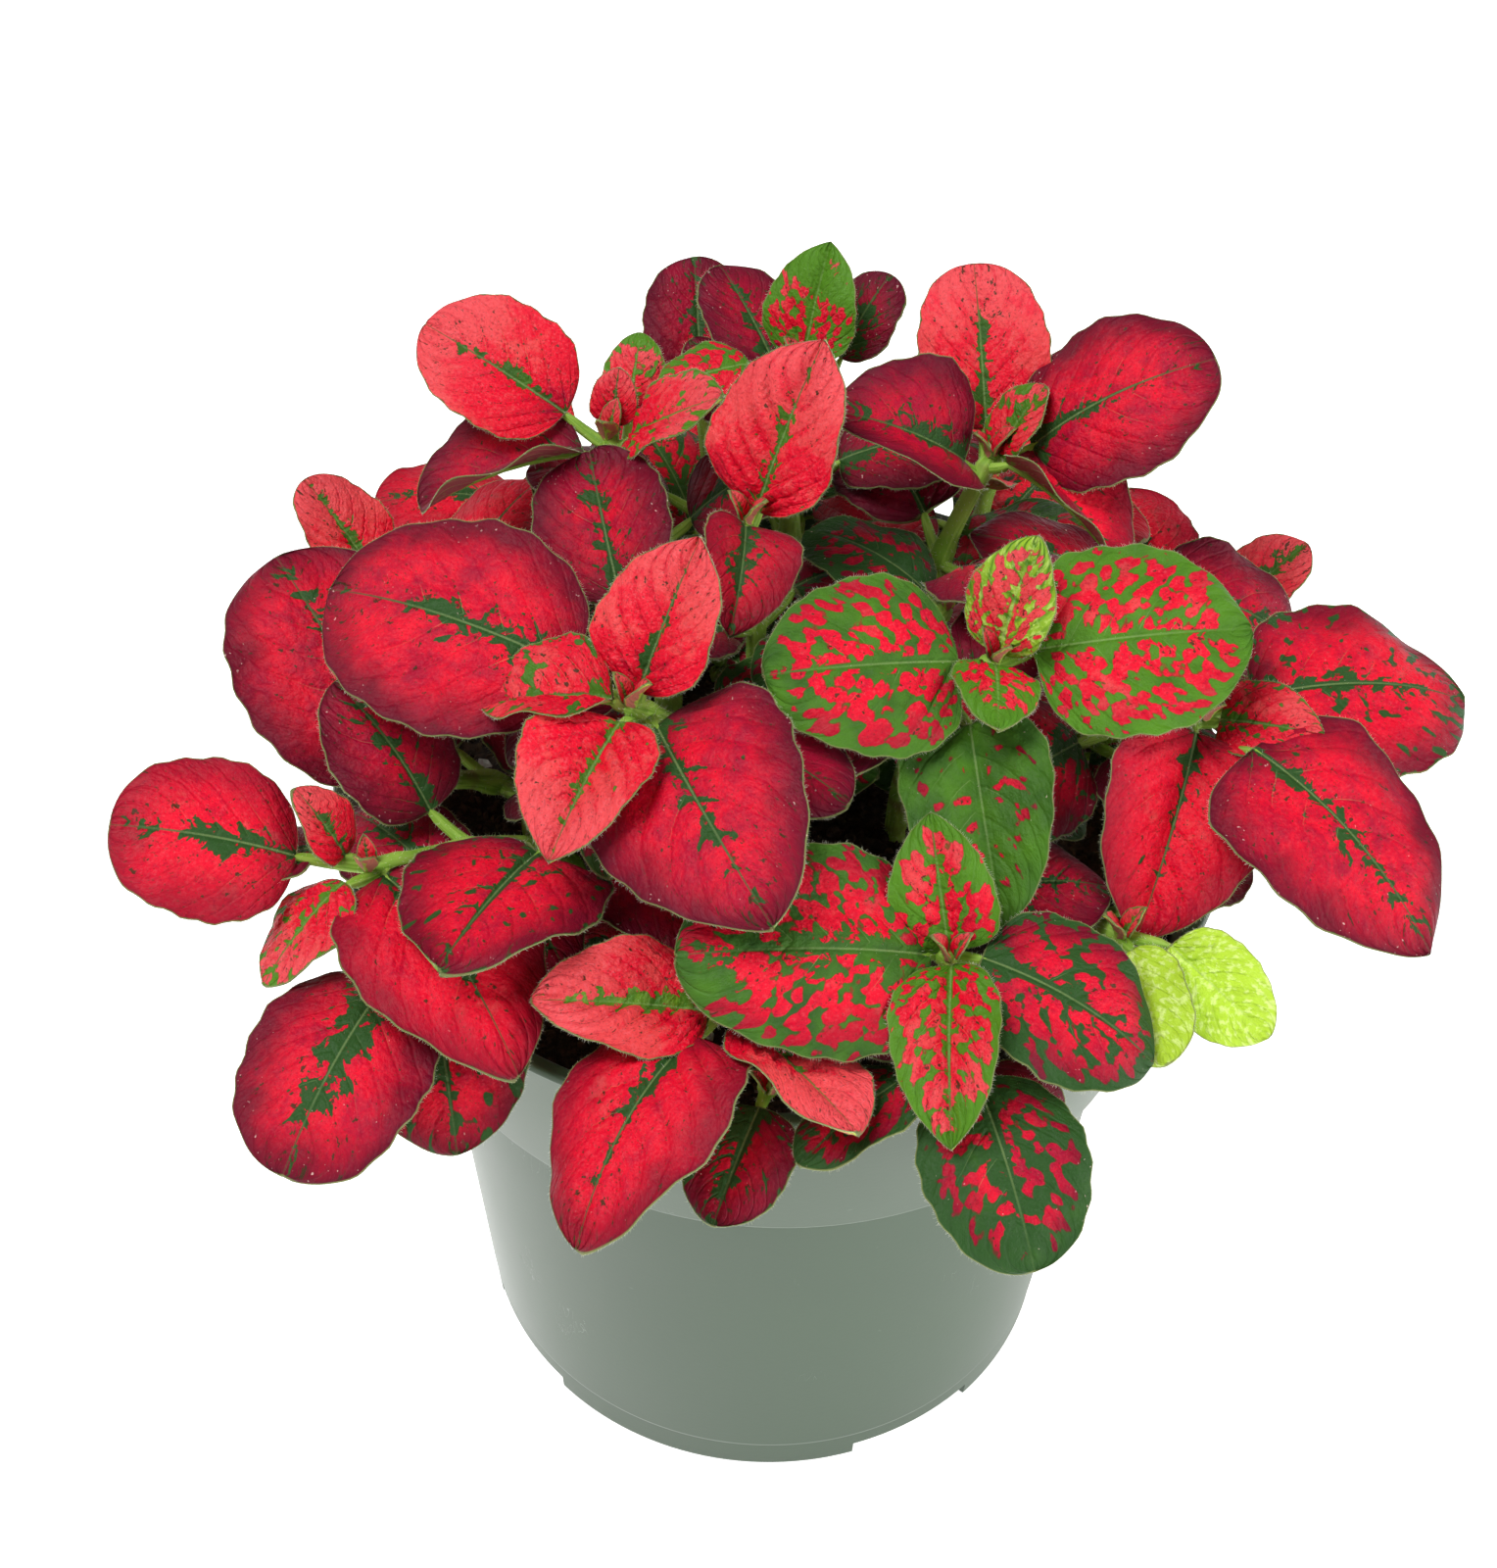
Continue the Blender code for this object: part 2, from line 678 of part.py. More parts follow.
def main():
    for old in list(bpy.data.objects):
        bpy.data.objects.remove(old)
    make_pot()
    make_soil([root for root, _, _ in (STEMS | RULED_STEMS).values()])
    lines, grown = grow()
    for name, leaves in grown.items():
        make_stem(name, lines[name], leaves)
    print(sum(len(leaves) for leaves in grown.values()), "leaves on", len(grown), "stems")


main()
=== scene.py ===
# %% [markdown]
# # A red splash polka dot plant in its nursery pot
#
# The plant is a bush of soft stems. Each stem carries pairs of oval leaves, and each pair
# stands a quarter turn from the pair below. The leaves are red, splashed with dark green
# along the midrib, and rimmed with olive green. The solid model gives the pot, the soil and
# each leafy stem as plain faceted pieces. This lesson gives every one of them its real
# surface: veined and quilted leaves, hairs along their rims, downy stems, crumbs of soil and
# a smooth moulded pot.
#
# All lengths are in metres, and +Z is up. Values that are easier to read in millimetres are
# multiplied by MM.

# %% Load the fixed model
import math
import random
from collections import namedtuple

import bpy
import numpy as np
from mathutils import Matrix, Vector, noise
from mathutils.bvhtree import BVHTree


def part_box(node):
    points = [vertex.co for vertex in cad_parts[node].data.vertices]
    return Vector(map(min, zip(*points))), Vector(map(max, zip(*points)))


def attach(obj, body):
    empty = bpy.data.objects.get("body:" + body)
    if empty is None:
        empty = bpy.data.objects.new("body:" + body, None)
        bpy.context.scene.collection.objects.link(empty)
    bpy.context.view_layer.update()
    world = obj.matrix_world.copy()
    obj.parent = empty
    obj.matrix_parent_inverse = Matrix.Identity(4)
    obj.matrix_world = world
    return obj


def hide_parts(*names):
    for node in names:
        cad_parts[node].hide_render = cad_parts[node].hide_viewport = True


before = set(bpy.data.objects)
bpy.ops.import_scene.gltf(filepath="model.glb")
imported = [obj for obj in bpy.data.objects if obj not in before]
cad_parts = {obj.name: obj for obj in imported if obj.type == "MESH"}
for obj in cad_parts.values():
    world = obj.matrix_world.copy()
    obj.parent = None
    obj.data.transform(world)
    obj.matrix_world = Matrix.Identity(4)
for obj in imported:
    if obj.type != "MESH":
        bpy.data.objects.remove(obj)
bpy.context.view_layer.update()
MM = 0.001
print("the solid model has", len(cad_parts), "pieces")

# %% [markdown]
# ## Objects from lists
#
# Most pieces here are worked out point by point, so a few helpers turn lists into objects.
# Two neighbouring rows of points are bridged with four-sided faces. A row of one point is a
# pole, where three-sided faces meet.

# %% Helpers for meshes
def add_object(name, data):
    """Puts a mesh, a lamp or a camera into the scene."""
    made = bpy.data.objects.new(name, data)
    bpy.context.scene.collection.objects.link(made)
    return made


def mesh_object(name, points, faces, edges=()):
    mesh = bpy.data.meshes.new(name)
    mesh.from_pydata([tuple(p) for p in points], edges, faces)
    return add_object(name, mesh)


def bridge(low, high, closed=True):
    """Faces between two rows of point numbers."""
    count = max(len(low), len(high))
    faces = []
    for k in range(count if closed else count - 1):
        after = (k + 1) % count
        if len(low) == 1:
            faces.append((low[0], high[k], high[after]))
        elif len(high) == 1:
            faces.append((low[k], high[0], low[after]))
        else:
            faces.append((low[k], high[k], high[after], low[after]))
    return faces


def turned_over(faces, shift=0):
    """The faces seen from behind. Each keeps its first corner, so that it splits the same way."""
    return [tuple(k + shift for k in (face[0], *face[:0:-1])) for face in faces]


class Shape:
    """Points, faces and point attributes that become one mesh."""

    def __init__(self):
        self.points = []
        self.faces = []
        self.slots = []
        self.notes = {}

    def add(self, points, faces, slots=(), **notes):
        start = len(self.points)
        self.points += points
        self.faces += [tuple(start + k for k in face) for face in faces]
        self.slots += slots
        for label, values in notes.items():
            self.notes.setdefault(label, []).extend(values)

    def build(self, name):
        """A mesh object with the attributes. Faces of two corners are edges."""
        lines = len(self.faces[0]) == 2
        made = mesh_object(name, self.points, [] if lines else self.faces, self.faces if lines else ())
        for label, values in self.notes.items():
            layer = made.data.attributes.new(label, "FLOAT_VECTOR", "POINT")
            layer.data.foreach_set("vector", np.array(values, np.float32).ravel())
        return made


print("mesh helpers ready")

# %% [markdown]
# ## The camera
#
# The photograph looks down on the pot at half a right angle, from close by, so the camera
# stands about 32 cm from the middle of the leaves. A camera could be turned with Euler
# angles, but it is easier to build its three directions by hand: right, up and back.

# %% Camera
AIM = Vector((-4 * MM, 0, 90.7 * MM))
DISTANCE = 321 * MM
ELEVATION = math.radians(45)
ROLL = math.radians(1.47)
LENS = 60.75
NEAREST = 10 * MM


def make_camera():
    """A camera that looks down on the plant, with a very small roll."""
    back = Vector((0, -math.cos(ELEVATION), math.sin(ELEVATION)))
    level = Vector((1, 0, 0))
    rising = Vector((0, math.sin(ELEVATION), math.cos(ELEVATION)))
    right = level * math.cos(ROLL) + rising * math.sin(ROLL)
    up = rising * math.cos(ROLL) - level * math.sin(ROLL)
    data = bpy.data.cameras.new("camera")
    data.lens = LENS
    data.clip_start = NEAREST
    camera = add_object("camera", data)
    turn = Matrix((right, up, back)).transposed().to_4x4()
    camera.matrix_world = Matrix.Translation(AIM + back * DISTANCE) @ turn
    bpy.context.scene.camera = camera
    return camera


print("camera at", make_camera().matrix_world.translation)

# %% [markdown]
# ## Node maths as Python
#
# A material is a tree of nodes, and so is a Geometry Nodes modifier. Long trees are hard to
# read as a list of links, so a few small classes make them read like sums. A Wire is one
# output socket. Adding, multiplying or dividing two wires adds the Math node that does it.
# A Tree adds any other node with one method, which sets the node's settings first and then
# its sockets. A Finish is the tree of a material, and a Recipe, further down, is the tree of
# a modifier.

# %% Wires
class Wire:
    """One output socket, with Python's operators turned into Math nodes."""

    def __init__(self, owner, socket):
        self.owner = owner
        self.socket = socket

    def math(self, operation, *others):
        return self.owner.math(operation, self, *others)

    def __add__(self, other):
        return self.math("ADD", other)

    def __sub__(self, other):
        return self.math("SUBTRACT", other)

    def __rsub__(self, other):
        return self.owner.math("SUBTRACT", other, self)

    def __mul__(self, other):
        return self.math("MULTIPLY", other)

    def __truediv__(self, other):
        return self.math("DIVIDE", other)

    __radd__ = __add__
    __rmul__ = __mul__

    def step(self, low, high):
        """0 below low, 1 above high and a soft curve between them."""
        values = {"Value": self, "From Min": low, "From Max": high}
        return self.owner.node("ShaderNodeMapRange", {"interpolation_type": "SMOOTHSTEP"}, values)

    def fall(self, low, high):
        """1 below low, 0 above high and a soft curve between them."""
        return 1.0 - self.step(low, high)

    def off_whole(self):
        """How far this value is from the nearest whole number, from 0 to 0.5."""
        return 0.5 - (self.math("FRACT") - 0.5).math("ABSOLUTE")


print("wires can be added, multiplied and stepped")

# %% Trees
class Tree:
    """A node tree, and one method that adds nodes to it."""

    def __init__(self, tree):
        self.tree = tree

    def plug(self, socket, value):
        """Links a wire to a socket, or sets the socket to a plain value."""
        if isinstance(value, Wire):
            self.tree.links.new(value.socket, socket)
        elif isinstance(value, tuple) and socket.type == "RGBA":
            socket.default_value = (*value, 1.0)
        else:
            socket.default_value = value

    def node(self, kind, settings=None, values=None, output=0):
        """Adds one node and returns one of its outputs."""
        made = self.tree.nodes.new(kind)
        for name, value in (settings or {}).items():
            setattr(made, name, value)
        items = values.items() if isinstance(values, dict) else enumerate(values or [])
        for label, value in items:
            self.plug(made.inputs[label], value)
        return Wire(self, made.outputs[output])

    def math(self, operation, *values):
        return self.node("ShaderNodeMath", {"operation": operation}, values)

    def split(self, whole):
        """The three numbers of a vector, as separate wires."""
        return [self.node("ShaderNodeSeparateXYZ", values=[whole], output=k) for k in range(3)]


print("trees ready")

# %% Finishes
class Finish(Tree):
    """A material and its tree."""

    def __init__(self, name, **constants):
        self.material = bpy.data.materials.new(name)
        self.material.use_nodes = True
        super().__init__(self.material.node_tree)
        self.drive(**constants)

    def drive(self, **values):
        """Sets or links sockets of the material's main shader and gives back the material."""
        for label, value in values.items():
            self.plug(self.tree.nodes["Principled BSDF"].inputs[label.replace("_", " ")], value)
        return self.material

    def place(self):
        """Where a point is on its piece, in metres."""
        return self.node("ShaderNodeTexCoord", output="Object")

    def attribute(self, name):
        """A mesh attribute as one vector."""
        return self.node("ShaderNodeAttribute", {"attribute_name": name}, output="Vector")

    def vector(self, x, y, z):
        return self.node("ShaderNodeCombineXYZ", values=[x, y, z])

    def noise(self, place, scale, detail=2.0, roughness=0.5, distortion=0.0):
        values = {"Vector": place, "Scale": scale, "Detail": detail, "Roughness": roughness}
        return self.node("ShaderNodeTexNoise", values=values | {"Distortion": distortion}, output="Fac")

    def mix(self, low, high, share):
        """A colour between low and high."""
        return self.node("ShaderNodeMix", {"data_type": "RGBA"}, {0: share, 6: low, 7: high}, output=2)

    def bump(self, height, distance, strength):
        values = {"Height": height, "Distance": distance, "Strength": strength}
        return self.node("ShaderNodeBump", values=values)


print("finishes ready")

# %% [markdown]
# ## The studio
#
# The pot stands on a plain white sheet in soft light. One large lamp high on the left lights
# the leaves, and a wider one on the right fills their shadows. The world is white: bright
# near the horizon, as the walls of a white tent are, and dimmer overhead, so that the sides
# of the pot are light and the leaves keep their shadows. The sheet glows a little by itself,
# as a lit backdrop does, so that it stays white round the pot. The plain colour transform
# keeps the reds as strong as they are.

# %% Floor and lamps
FLOOR_SIZE = 6.0
FLOOR_GLOW = 0.88
FLOOR_WHITE = (0.93, 0.93, 0.93)
KEY_LAMP = (Vector((-0.45, -0.15, 1.20)), 0.60, 14.5)
FILL_LAMP = (Vector((0.90, -0.42, 0.50)), 0.8, 8.0)
HORIZON_STRENGTH = 1.15
OVERHEAD_STRENGTH = 0.22


def make_floor():
    """A large plain sheet under the pot."""
    half = FLOOR_SIZE / 2
    corners = [(-half, -half, 0), (half, -half, 0), (half, half, 0), (-half, half, 0)]
    floor = mesh_object("floor", corners, [(0, 1, 2, 3)])
    paper = Finish("white_paper", Roughness=0.9, Base_Color=FLOOR_WHITE)
    floor.data.materials.append(paper.drive(Emission_Color=FLOOR_WHITE, Emission_Strength=FLOOR_GLOW))


def make_lamp(name, place, size, power):
    """A square soft lamp that faces the leaves."""
    data = bpy.data.lights.new(name, "AREA")
    data.size = size
    data.energy = power
    turn = (place - AIM).to_track_quat("Z", "Y").to_matrix().to_4x4()
    add_object(name, data).matrix_world = Matrix.Translation(place) @ turn


def light_world():
    """White all round, and dimmer from a third of the way up."""
    world = bpy.data.worlds.new("studio")
    world.use_nodes = True
    tree = Tree(world.node_tree)
    rise = tree.split(tree.node("ShaderNodeTexCoord", output="Generated"))[2]
    strength = HORIZON_STRENGTH - rise.step(0.04, 0.34) * (HORIZON_STRENGTH - OVERHEAD_STRENGTH)
    background = world.node_tree.nodes["Background"]
    tree.plug(background.inputs["Color"], (1.0, 1.0, 1.0))
    tree.plug(background.inputs["Strength"], strength)
    bpy.context.scene.world = world
    bpy.context.scene.view_settings.view_transform = "Standard"


make_floor()
make_lamp("key_lamp", *KEY_LAMP)
make_lamp("fill_lamp", *FILL_LAMP)
light_world()
print("studio ready")

# %% [markdown]
# ## Where the leaves grow
#
# A fine leaf has to lie where its plain solid lies. The solids were placed by a table of
# stems and a rule that bends each leaf clear of what stands already, so this step repeats
# the table and the rule. Each stem has a root on the soil and a growing tip, in millimetres
# from the pot's axis. A leaf is: how far below the tip it grows, the length of its stalk, its
# heading and rise in degrees, its length and width in millimetres, its roll in degrees, its
# form, how it is coloured and its outline.

# %% The stems and their leaves
Row = namedtuple("Row", "drop stalk heading rise length width roll form look outline")
STEMS = {
    "stem_left": ((-24, -14), (-45, -31, 107), [
        (0, 8, 186, 18, 20, 18, -30, "arched", "red", "round"),
        (0, 3, 160, 58, 10, 8, 0, "cupped", "coral", "pointed"),
        (1, 5, -128, -25, 14, 12, 20, "flat", "young", "pointed"),
        (1, 2, -54, -14, 28, 22, -8, "arched", "red", "pointed"),
        (3, 9, 184, -26, 15, 12, 10, "flat", "flecked", "oval"),
    ]),
    "stem_left_back": ((-30, -4), (-43, -15, 104), [
        (0, 2, 127, 30, 29, 24, -8, "arched", "deep", "round"),
    ]),
    "stem_left_front": ((-26, -24), (-41, -40, 101), [
        (0, 3, -112, -14, 24, 20, -5, "arched", "deep", "round"),
        (4, 3, -77, -32, 20, 19, 0, "arched", "flecked", "oval"),
    ]),
    "stem_middle": ((-10, -6), (-17, -20, 122), [
        (0, 2, 58, 48, 18, 15, -5, "cupped", "coral", "pointed"),
        (0, 2, 172, -15, 15, 13, 0, "folded", "young", "pointed"),
        (2, 4, -133, -18, 18, 15, 0, "folded", "coral", "pointed"),
        (4, 4, -64, -5, 30, 25, 25, "arched", "deep", "spade"),
        (5, 9, 157, 0, 31, 26, -24, "arched", "deep", "round"),
    ]),
    "stem_crimson": ((-12, 2), (-19, 4, 114), [
        (0, 2, 104, 22, 20, 17, -20, "cupped", "crimson", "round"),
    ]),
    "stem_back_left": ((-14, 18), (-22, 28, 121), [
        (0, 6, 158, 22, 20, 17, -25, "cupped", "coral", "round"),
        (2, 4, -165, -16, 21, 17, 15, "folded", "crimson", "oval"),
        (0, 3, -20, 38, 15, 12, 15, "cupped", "young", "oval"),
        (0, 2, 77, 60, 7, 6, 0, "cupped", "coral", "oval"),
        (3, 7, 80, 45, 10, 8, 0, "flat", "young", "oval"),
    ]),
    "stem_centre": ((-3, 6), (-5, 9, 124), [
        (0, 2, 53, 55, 21, 17, 0, "cupped", "coral", "pointed"),
        (0, 1, -97, -24, 14, 12, -25, "folded", "red", "spade"),
    ]),
    "stem_back": ((0, 24), (1, 39, 124), [
        (0, 1, 68, 58, 15, 12, 0, "cupped", "speckled", "pointed"),
        (0, 7, -158, -6, 12, 10, -9, "flat", "speckled", "oval"),
        (4, 8, 47, 42, 12, 10, 0, "flat", "crimson", "round"),
        (4, 6, 122, 26, 15, 12, 0, "flat", "crimson", "round"),
    ]),
    "stem_back_middle": ((-8, 26), (-11, 41, 117), [
        (0, 2, 96, 48, 17, 14, 0, "flat", "crimson", "round"),
    ]),
    "stem_back_right": ((15, 16), (24, 25, 122), [
        (0, 4, 98, 44, 20, 16, 0, "cupped", "coral", "round"),
        (0, 5, 2, 32, 24, 21, 25, "arched", "deep", "round"),
        (1, 3, 194, 30, 20, 18, -20, "folded", "crimson", "spade"),
        (0, 3, -46, -8, 19, 15, -25, "folded", "rose", "oval"),
        (0, 1, 25, 47, 10, 8, 0, "cupped", "young", "oval"),
    ]),
    "stem_right_middle": ((14, -3), (23, -9, 120), [
        (0, 1, 60, 59, 14, 11, -5, "cupped", "lime", "pointed"),
        (1, 4, -163, 8, 23, 21, -30, "flat", "blotched", "oval"),
        (1, 5, 9, 1, 25, 23, 28, "flat", "blotched", "oval"),
        (0, 1, -92, 6, 12, 10, -10, "flat", "speckled", "spade"),
        (9, 9, -80, -28, 24, 17, 20, "cupped", "green", "spade"),
    ]),
    "stem_right": ((26, 0), (48, -6, 109), [
        (0, 4, -110, -28, 25, 20, -20, "folded", "red", "spade"),
        (0, 2, -20, 8, 12, 11, 14, "cupped", "young", "spade"),
        (2, 8, 13, -12, 28, 24, 14, "arched", "flecked", "oval"),
        (4, 12, -44, -42, 30, 24, 5, "arched", "deep", "spade"),
        (10, 8, -138, 5, 20, 17, -35, "flat", "flecked", "oval"),
    ]),
    "stem_front": ((10, -22), (18, -41, 106), [
        (0, 1, 104, 48, 15, 12, -15, "cupped", "speckled", "spade"),
        (0, 1, -90, -24, 20, 12, 15, "folded", "speckled", "pointed"),
        (1, 2, -168, 11, 28, 23, -30, "arched", "splashed", "oval"),
        (1, 4, -18, -26, 22, 19, 12, "arched", "splashed", "oval"),
    ]),
    "stem_front_left": ((-4, -24), (-6, -45, 101), [
        (0, 2, -172, 12, 19, 15, -8, "cupped", "coral", "pointed"),
        (0, 4, -50, 0, 18, 14, -22, "cupped", "coral", "oval"),
        (2, 8, -116, -8, 26, 21, 18, "arched", "red", "spade"),
    ]),
    "stem_front_right": ((14, -34), (20, -48, 97), [
        (0, 3, -72, -16, 21, 18, 5, "arched", "mottled", "round"),
        (3, 5, -52, -50, 17, 14, 5, "arched", "crimson", "oval"),
        (2, 7, -140, -14, 16, 12, 20, "flat", "splashed", "oval"),
    ]),
    "stem_front_low": ((-1, -36), (-1, -50, 94), [
        (0, 3, -78, -34, 14, 12, 0, "flat", "flecked", "oval"),
    ]),
    "stem_middle_low": ((-18, -14), (-26, -24, 105), [
        (0, 3, -100, -12, 25, 22, 0, "flat", "flecked", "spade"),
        (6, 6, -45, -8, 18, 15, 0, "flat", "crimson", "oval"),
    ]),
    "stem_right_back": ((28, 8), (42, 17, 109), [
        (0, 3, -4, -26, 20, 17, 20, "arched", "crimson", "oval"),
        (0, 3, 170, 12, 18, 14, 0, "flat", "crimson", "oval"),
    ]),
    "stem_inner_green": ((10, 8), (19, 9, 112), [
        (0, 3, 150, 6, 17, 13, 0, "arched", "mottled", "oval"),
        (5, 5, -150, 0, 18, 15, 0, "flat", "splashed", "oval"),
    ]),
    "stem_right_front": ((30, -18), (38, -30, 98), [
        (0, 3, -75, -40, 14, 10, 40, "flat", "pale", "round"),
        (0, 6, -30, -30, 15, 11, 40, "flat", "pale", "oval"),
        (4, 6, 0, -10, 18, 15, 0, "arched", "crimson", "oval"),
    ]),
}
# On the far side: the root, the tip and the heading of the first pair
RULED_STEMS = {
    "stem_far_left": ((-32, 12), (-50, 24, 100), 140),
    "stem_far_back_left": ((-22, 30), (-32, 50, 98), 115),
    "stem_far_back": ((2, 36), (-4, 56, 97), 80),
    "stem_far_back_right": ((22, 29), (27, 50, 99), 60),
    "stem_far_right": ((36, 16), (54, 24, 97), 30),
}
print(len(STEMS), "stems from the photograph and", len(RULED_STEMS), "on the far side")

# %% [markdown]
# ## One leaf as a formula
#
# A leaf's middle surface is a function of two numbers: u runs from its base to its tip, and v
# from one side to the other. A grid of quads could be pushed and pulled into a leaf, but a
# formula lets the same leaf be drawn coarsely, to test whether it touches its neighbours, and
# finely, to be looked at.

# %% Stems as plain tubes
GAP = 0.3 * MM
RIM_RADIUS = 54.0 * MM
SOIL_TOP = 83.0 * MM
SOIL_DOME = 2.0 * MM
HOLE_DEPTH = 14.0 * MM
STEM_FOOT_RADIUS = 1.5 * MM
STEM_TIP_RADIUS = 1.0 * MM
STEM_SIDES = 5
STEM_PIECES = 4
STEM_UPRIGHT = 4 * MM
STEM_BEND = 0.6


def direction(heading, rise):
    flat = math.cos(math.radians(rise))
    turn = math.radians(heading)
    return Vector((flat * math.cos(turn), flat * math.sin(turn), math.sin(math.radians(rise))))


def stem_line(root, tip):
    """Points along a stem: upright in the soil, then leaning out to its tip."""
    foot = Vector((root[0] * MM, root[1] * MM, SOIL_TOP - HOLE_DEPTH + GAP))
    ground = Vector((foot.x, foot.y, SOIL_TOP + STEM_UPRIGHT))
    end = Vector(tip) * MM
    bend = Vector((foot.x, foot.y, ground.z + (end.z - ground.z) * STEM_BEND))
    line = [foot]
    for k in range(STEM_PIECES + 1):
        t = k / STEM_PIECES
        line.append(ground * (1 - t) ** 2 + bend * 2 * t * (1 - t) + end * t * t)
    return line


def along(line, drop):
    """The point this far below the top of a stem."""
    left = drop
    for upper, lower in zip(line[::-1], line[-2::-1]):
        step = (lower - upper).length
        if left <= step:
            return upper.lerp(lower, left / step)
        left -= step
    return line[0].copy()


def tube(line, radii, sides):
    """Points and faces of a closed tube through the points of a line."""
    points = []
    rows = []
    for k, centre in enumerate(line):
        before = line[max(k - 1, 0)]
        after = line[min(k + 1, len(line) - 1)]
        turn = (after - before).to_track_quat("Z", "Y")
        rows.append(range(k * sides, (k + 1) * sides))
        for s in range(sides):
            angle = math.tau * s / sides
            points.append(centre + turn @ Vector((math.cos(angle), math.sin(angle), 0)) * radii[k])
    faces = []
    for low, high in zip(rows, rows[1:]):
        faces += turned_over(bridge(low, high))
    return points, faces + [tuple(rows[0])[::-1], tuple(rows[-1])]


def stem_radius(share):
    """The radius of a stem at this share of its length above the soil."""
    return STEM_FOOT_RADIUS + share * (STEM_TIP_RADIUS - STEM_FOOT_RADIUS)


def stem_tube(line):
    """The plain tube that other stems' leaves are kept clear of."""
    radii = [stem_radius(max(k - 1, 0) / (len(line) - 2)) for k in range(len(line))]
    return tube(line, radii, STEM_SIDES)


print("stems are ready to be drawn")

# %% One plain leaf
STALK_RADIUS = 0.75 * MM
STALK_SIDES = 3
STALK_TAPER = 0.8
STALK_RISE = 20.0
STALK_SINK = 1.4 * MM
STALK_REACH = 0.14
BLADE_THICKNESS = 0.75 * MM
BELLY = 0.40
BELLY_POWER = math.log(0.5) / math.log(BELLY)
FULLNESS = 0.66
BASE_LOBE = 0.07
LARGE_LEAF = 17.0 * MM
LARGE_STEPS = 5
SMALL_STEPS = 4
# Each form: how high its midrib arches, as a share of its length, and how steeply its sides rise
FORMS = {
    "flat": (0.05, -0.06),
    "arched": (0.12, -0.12),
    "cupped": (0.03, 0.22),
    "folded": (0.07, 0.50),
}


class Leaf:
    """One blade on its stalk, placed from the joint of a stem where it grows."""

    def __init__(self, line, row):
        self.line = line
        self.row = Row(*row)
        self.stalk = self.row.stalk * MM
        self.length = self.row.length * MM
        self.width = self.row.width * MM
        self.foot = along(line, self.row.drop * MM + STALK_SINK)
        self.base = along(line, self.row.drop * MM) + direction(self.row.heading, STALK_RISE) * self.stalk
        # Unit vectors along the midrib, across the blade and out of its upper face
        ahead = direction(self.row.heading, self.row.rise)
        level = direction(self.row.heading + 90, 0)
        across = Matrix.Rotation(math.radians(self.row.roll), 3, ahead) @ level
        self.axes = ahead, across, ahead.cross(across)

    def moved(self, turn, lift, shrink):
        """The same leaf turned and lifted a little at its joint."""
        row = self.row._replace(heading=self.row.heading + turn, rise=self.row.rise + lift)
        return Leaf(self.line, row._replace(length=row.length * shrink, width=row.width * shrink))

    def bent(self, u, v, half, lobe, height=0.0):
        """A point of a blade of this half width, with lobes at its base and some relief."""
        ahead, across, up = self.axes
        arch, lift = FORMS[self.row.form]
        back = lobe * abs(v) * (1 - u) ** 2 * math.sin(math.pi * u) * 2
        rise = 4 * arch * u * (1 - u) * self.length + lift * half * abs(v) + height
        return self.base + ahead * (u - back) * self.length + across * v * half + up * rise

    def point(self, u, v):
        """A point of the blade's middle surface: u from base to tip, v from side to side."""
        half = math.sin(math.pi * min(max(u, 0), 1) ** BELLY_POWER) ** FULLNESS * self.width / 2
        return self.bent(u, v, half, BASE_LOBE)

    def blade(self, thickness, start=0.0):
        """Points and triangles of the plain closed blade."""
        steps = LARGE_STEPS if self.length > LARGE_LEAF else SMALL_STEPS
        up = self.axes[2] * thickness / 2
        middle = []
        rows = []
        for k in range(steps + 1):
            sides = (0,) if k in (0, steps) else (-1, 0, 1)
            rows.append(range(len(middle), len(middle) + len(sides)))
            middle += [self.point(start + (1 - start) * k / steps, v) for v in sides]
        upper = []
        for low, high in zip(rows, rows[1:]):
            left, right = bridge(low, high, closed=False)
            if len(left) == 3:
                upper += [left, right]
            else:
                upper += [left[:3], (left[0], *left[2:]), (*right[:2], right[3]), right[1:]]
        count = len(middle)
        faces = upper + turned_over(upper, count)
        for low, high in zip(rows, rows[1:]):
            a, b = low[0], high[0]
            faces += [(a, b + count, b), (a, a + count, b + count)]
            a, b = low[-1], high[-1]
            faces += [(a, b, b + count), (a, b + count, a + count)]
        return [p + up for p in middle] + [p - up for p in middle], faces

    def stalk_tube(self):
        """The plain stalk from inside the stem to inside the blade."""
        line = [self.foot, self.point(STALK_REACH, 0)]
        return tube(line, [STALK_RADIUS, STALK_RADIUS * STALK_TAPER], STALK_SIDES)


print("a leaf is ready to be drawn")

# %% [markdown]
# ## Finding room for each leaf
#
# Leaves on a crowded bush bend round each other. The rule tries a leaf where the table puts
# it, then turned and lifted a little more each time, and takes the first place where it
# meets nothing. A tree of boxes round the triangles answers quickly whether two pieces
# meet.

# %% What stands already
CLEARANCE = 0.55 * MM
CROWDED_BASE = 0.18
TURNS = (0, 10, -10, 20, -20, 32, -32)
LIFTS = (0, 8, -8, 16, -16, 26, -26)
SHRINKS = (1.0, 0.85, 0.7)
SOIL_LUMP = 0.5 * MM
SOIL_LUMP_X = 6.1 * MM
SOIL_LUMP_Y = 5.3 * MM


def soil_height(x, y):
    """The soil's surface: a low dome with soft lumps."""
    spread = math.hypot(x, y) / RIM_RADIUS
    lumps = SOIL_LUMP * math.sin(x / SOIL_LUMP_X) * math.cos(y / SOIL_LUMP_Y + 1.0)
    return SOIL_TOP + SOIL_DOME * (1 - spread * spread) + lumps


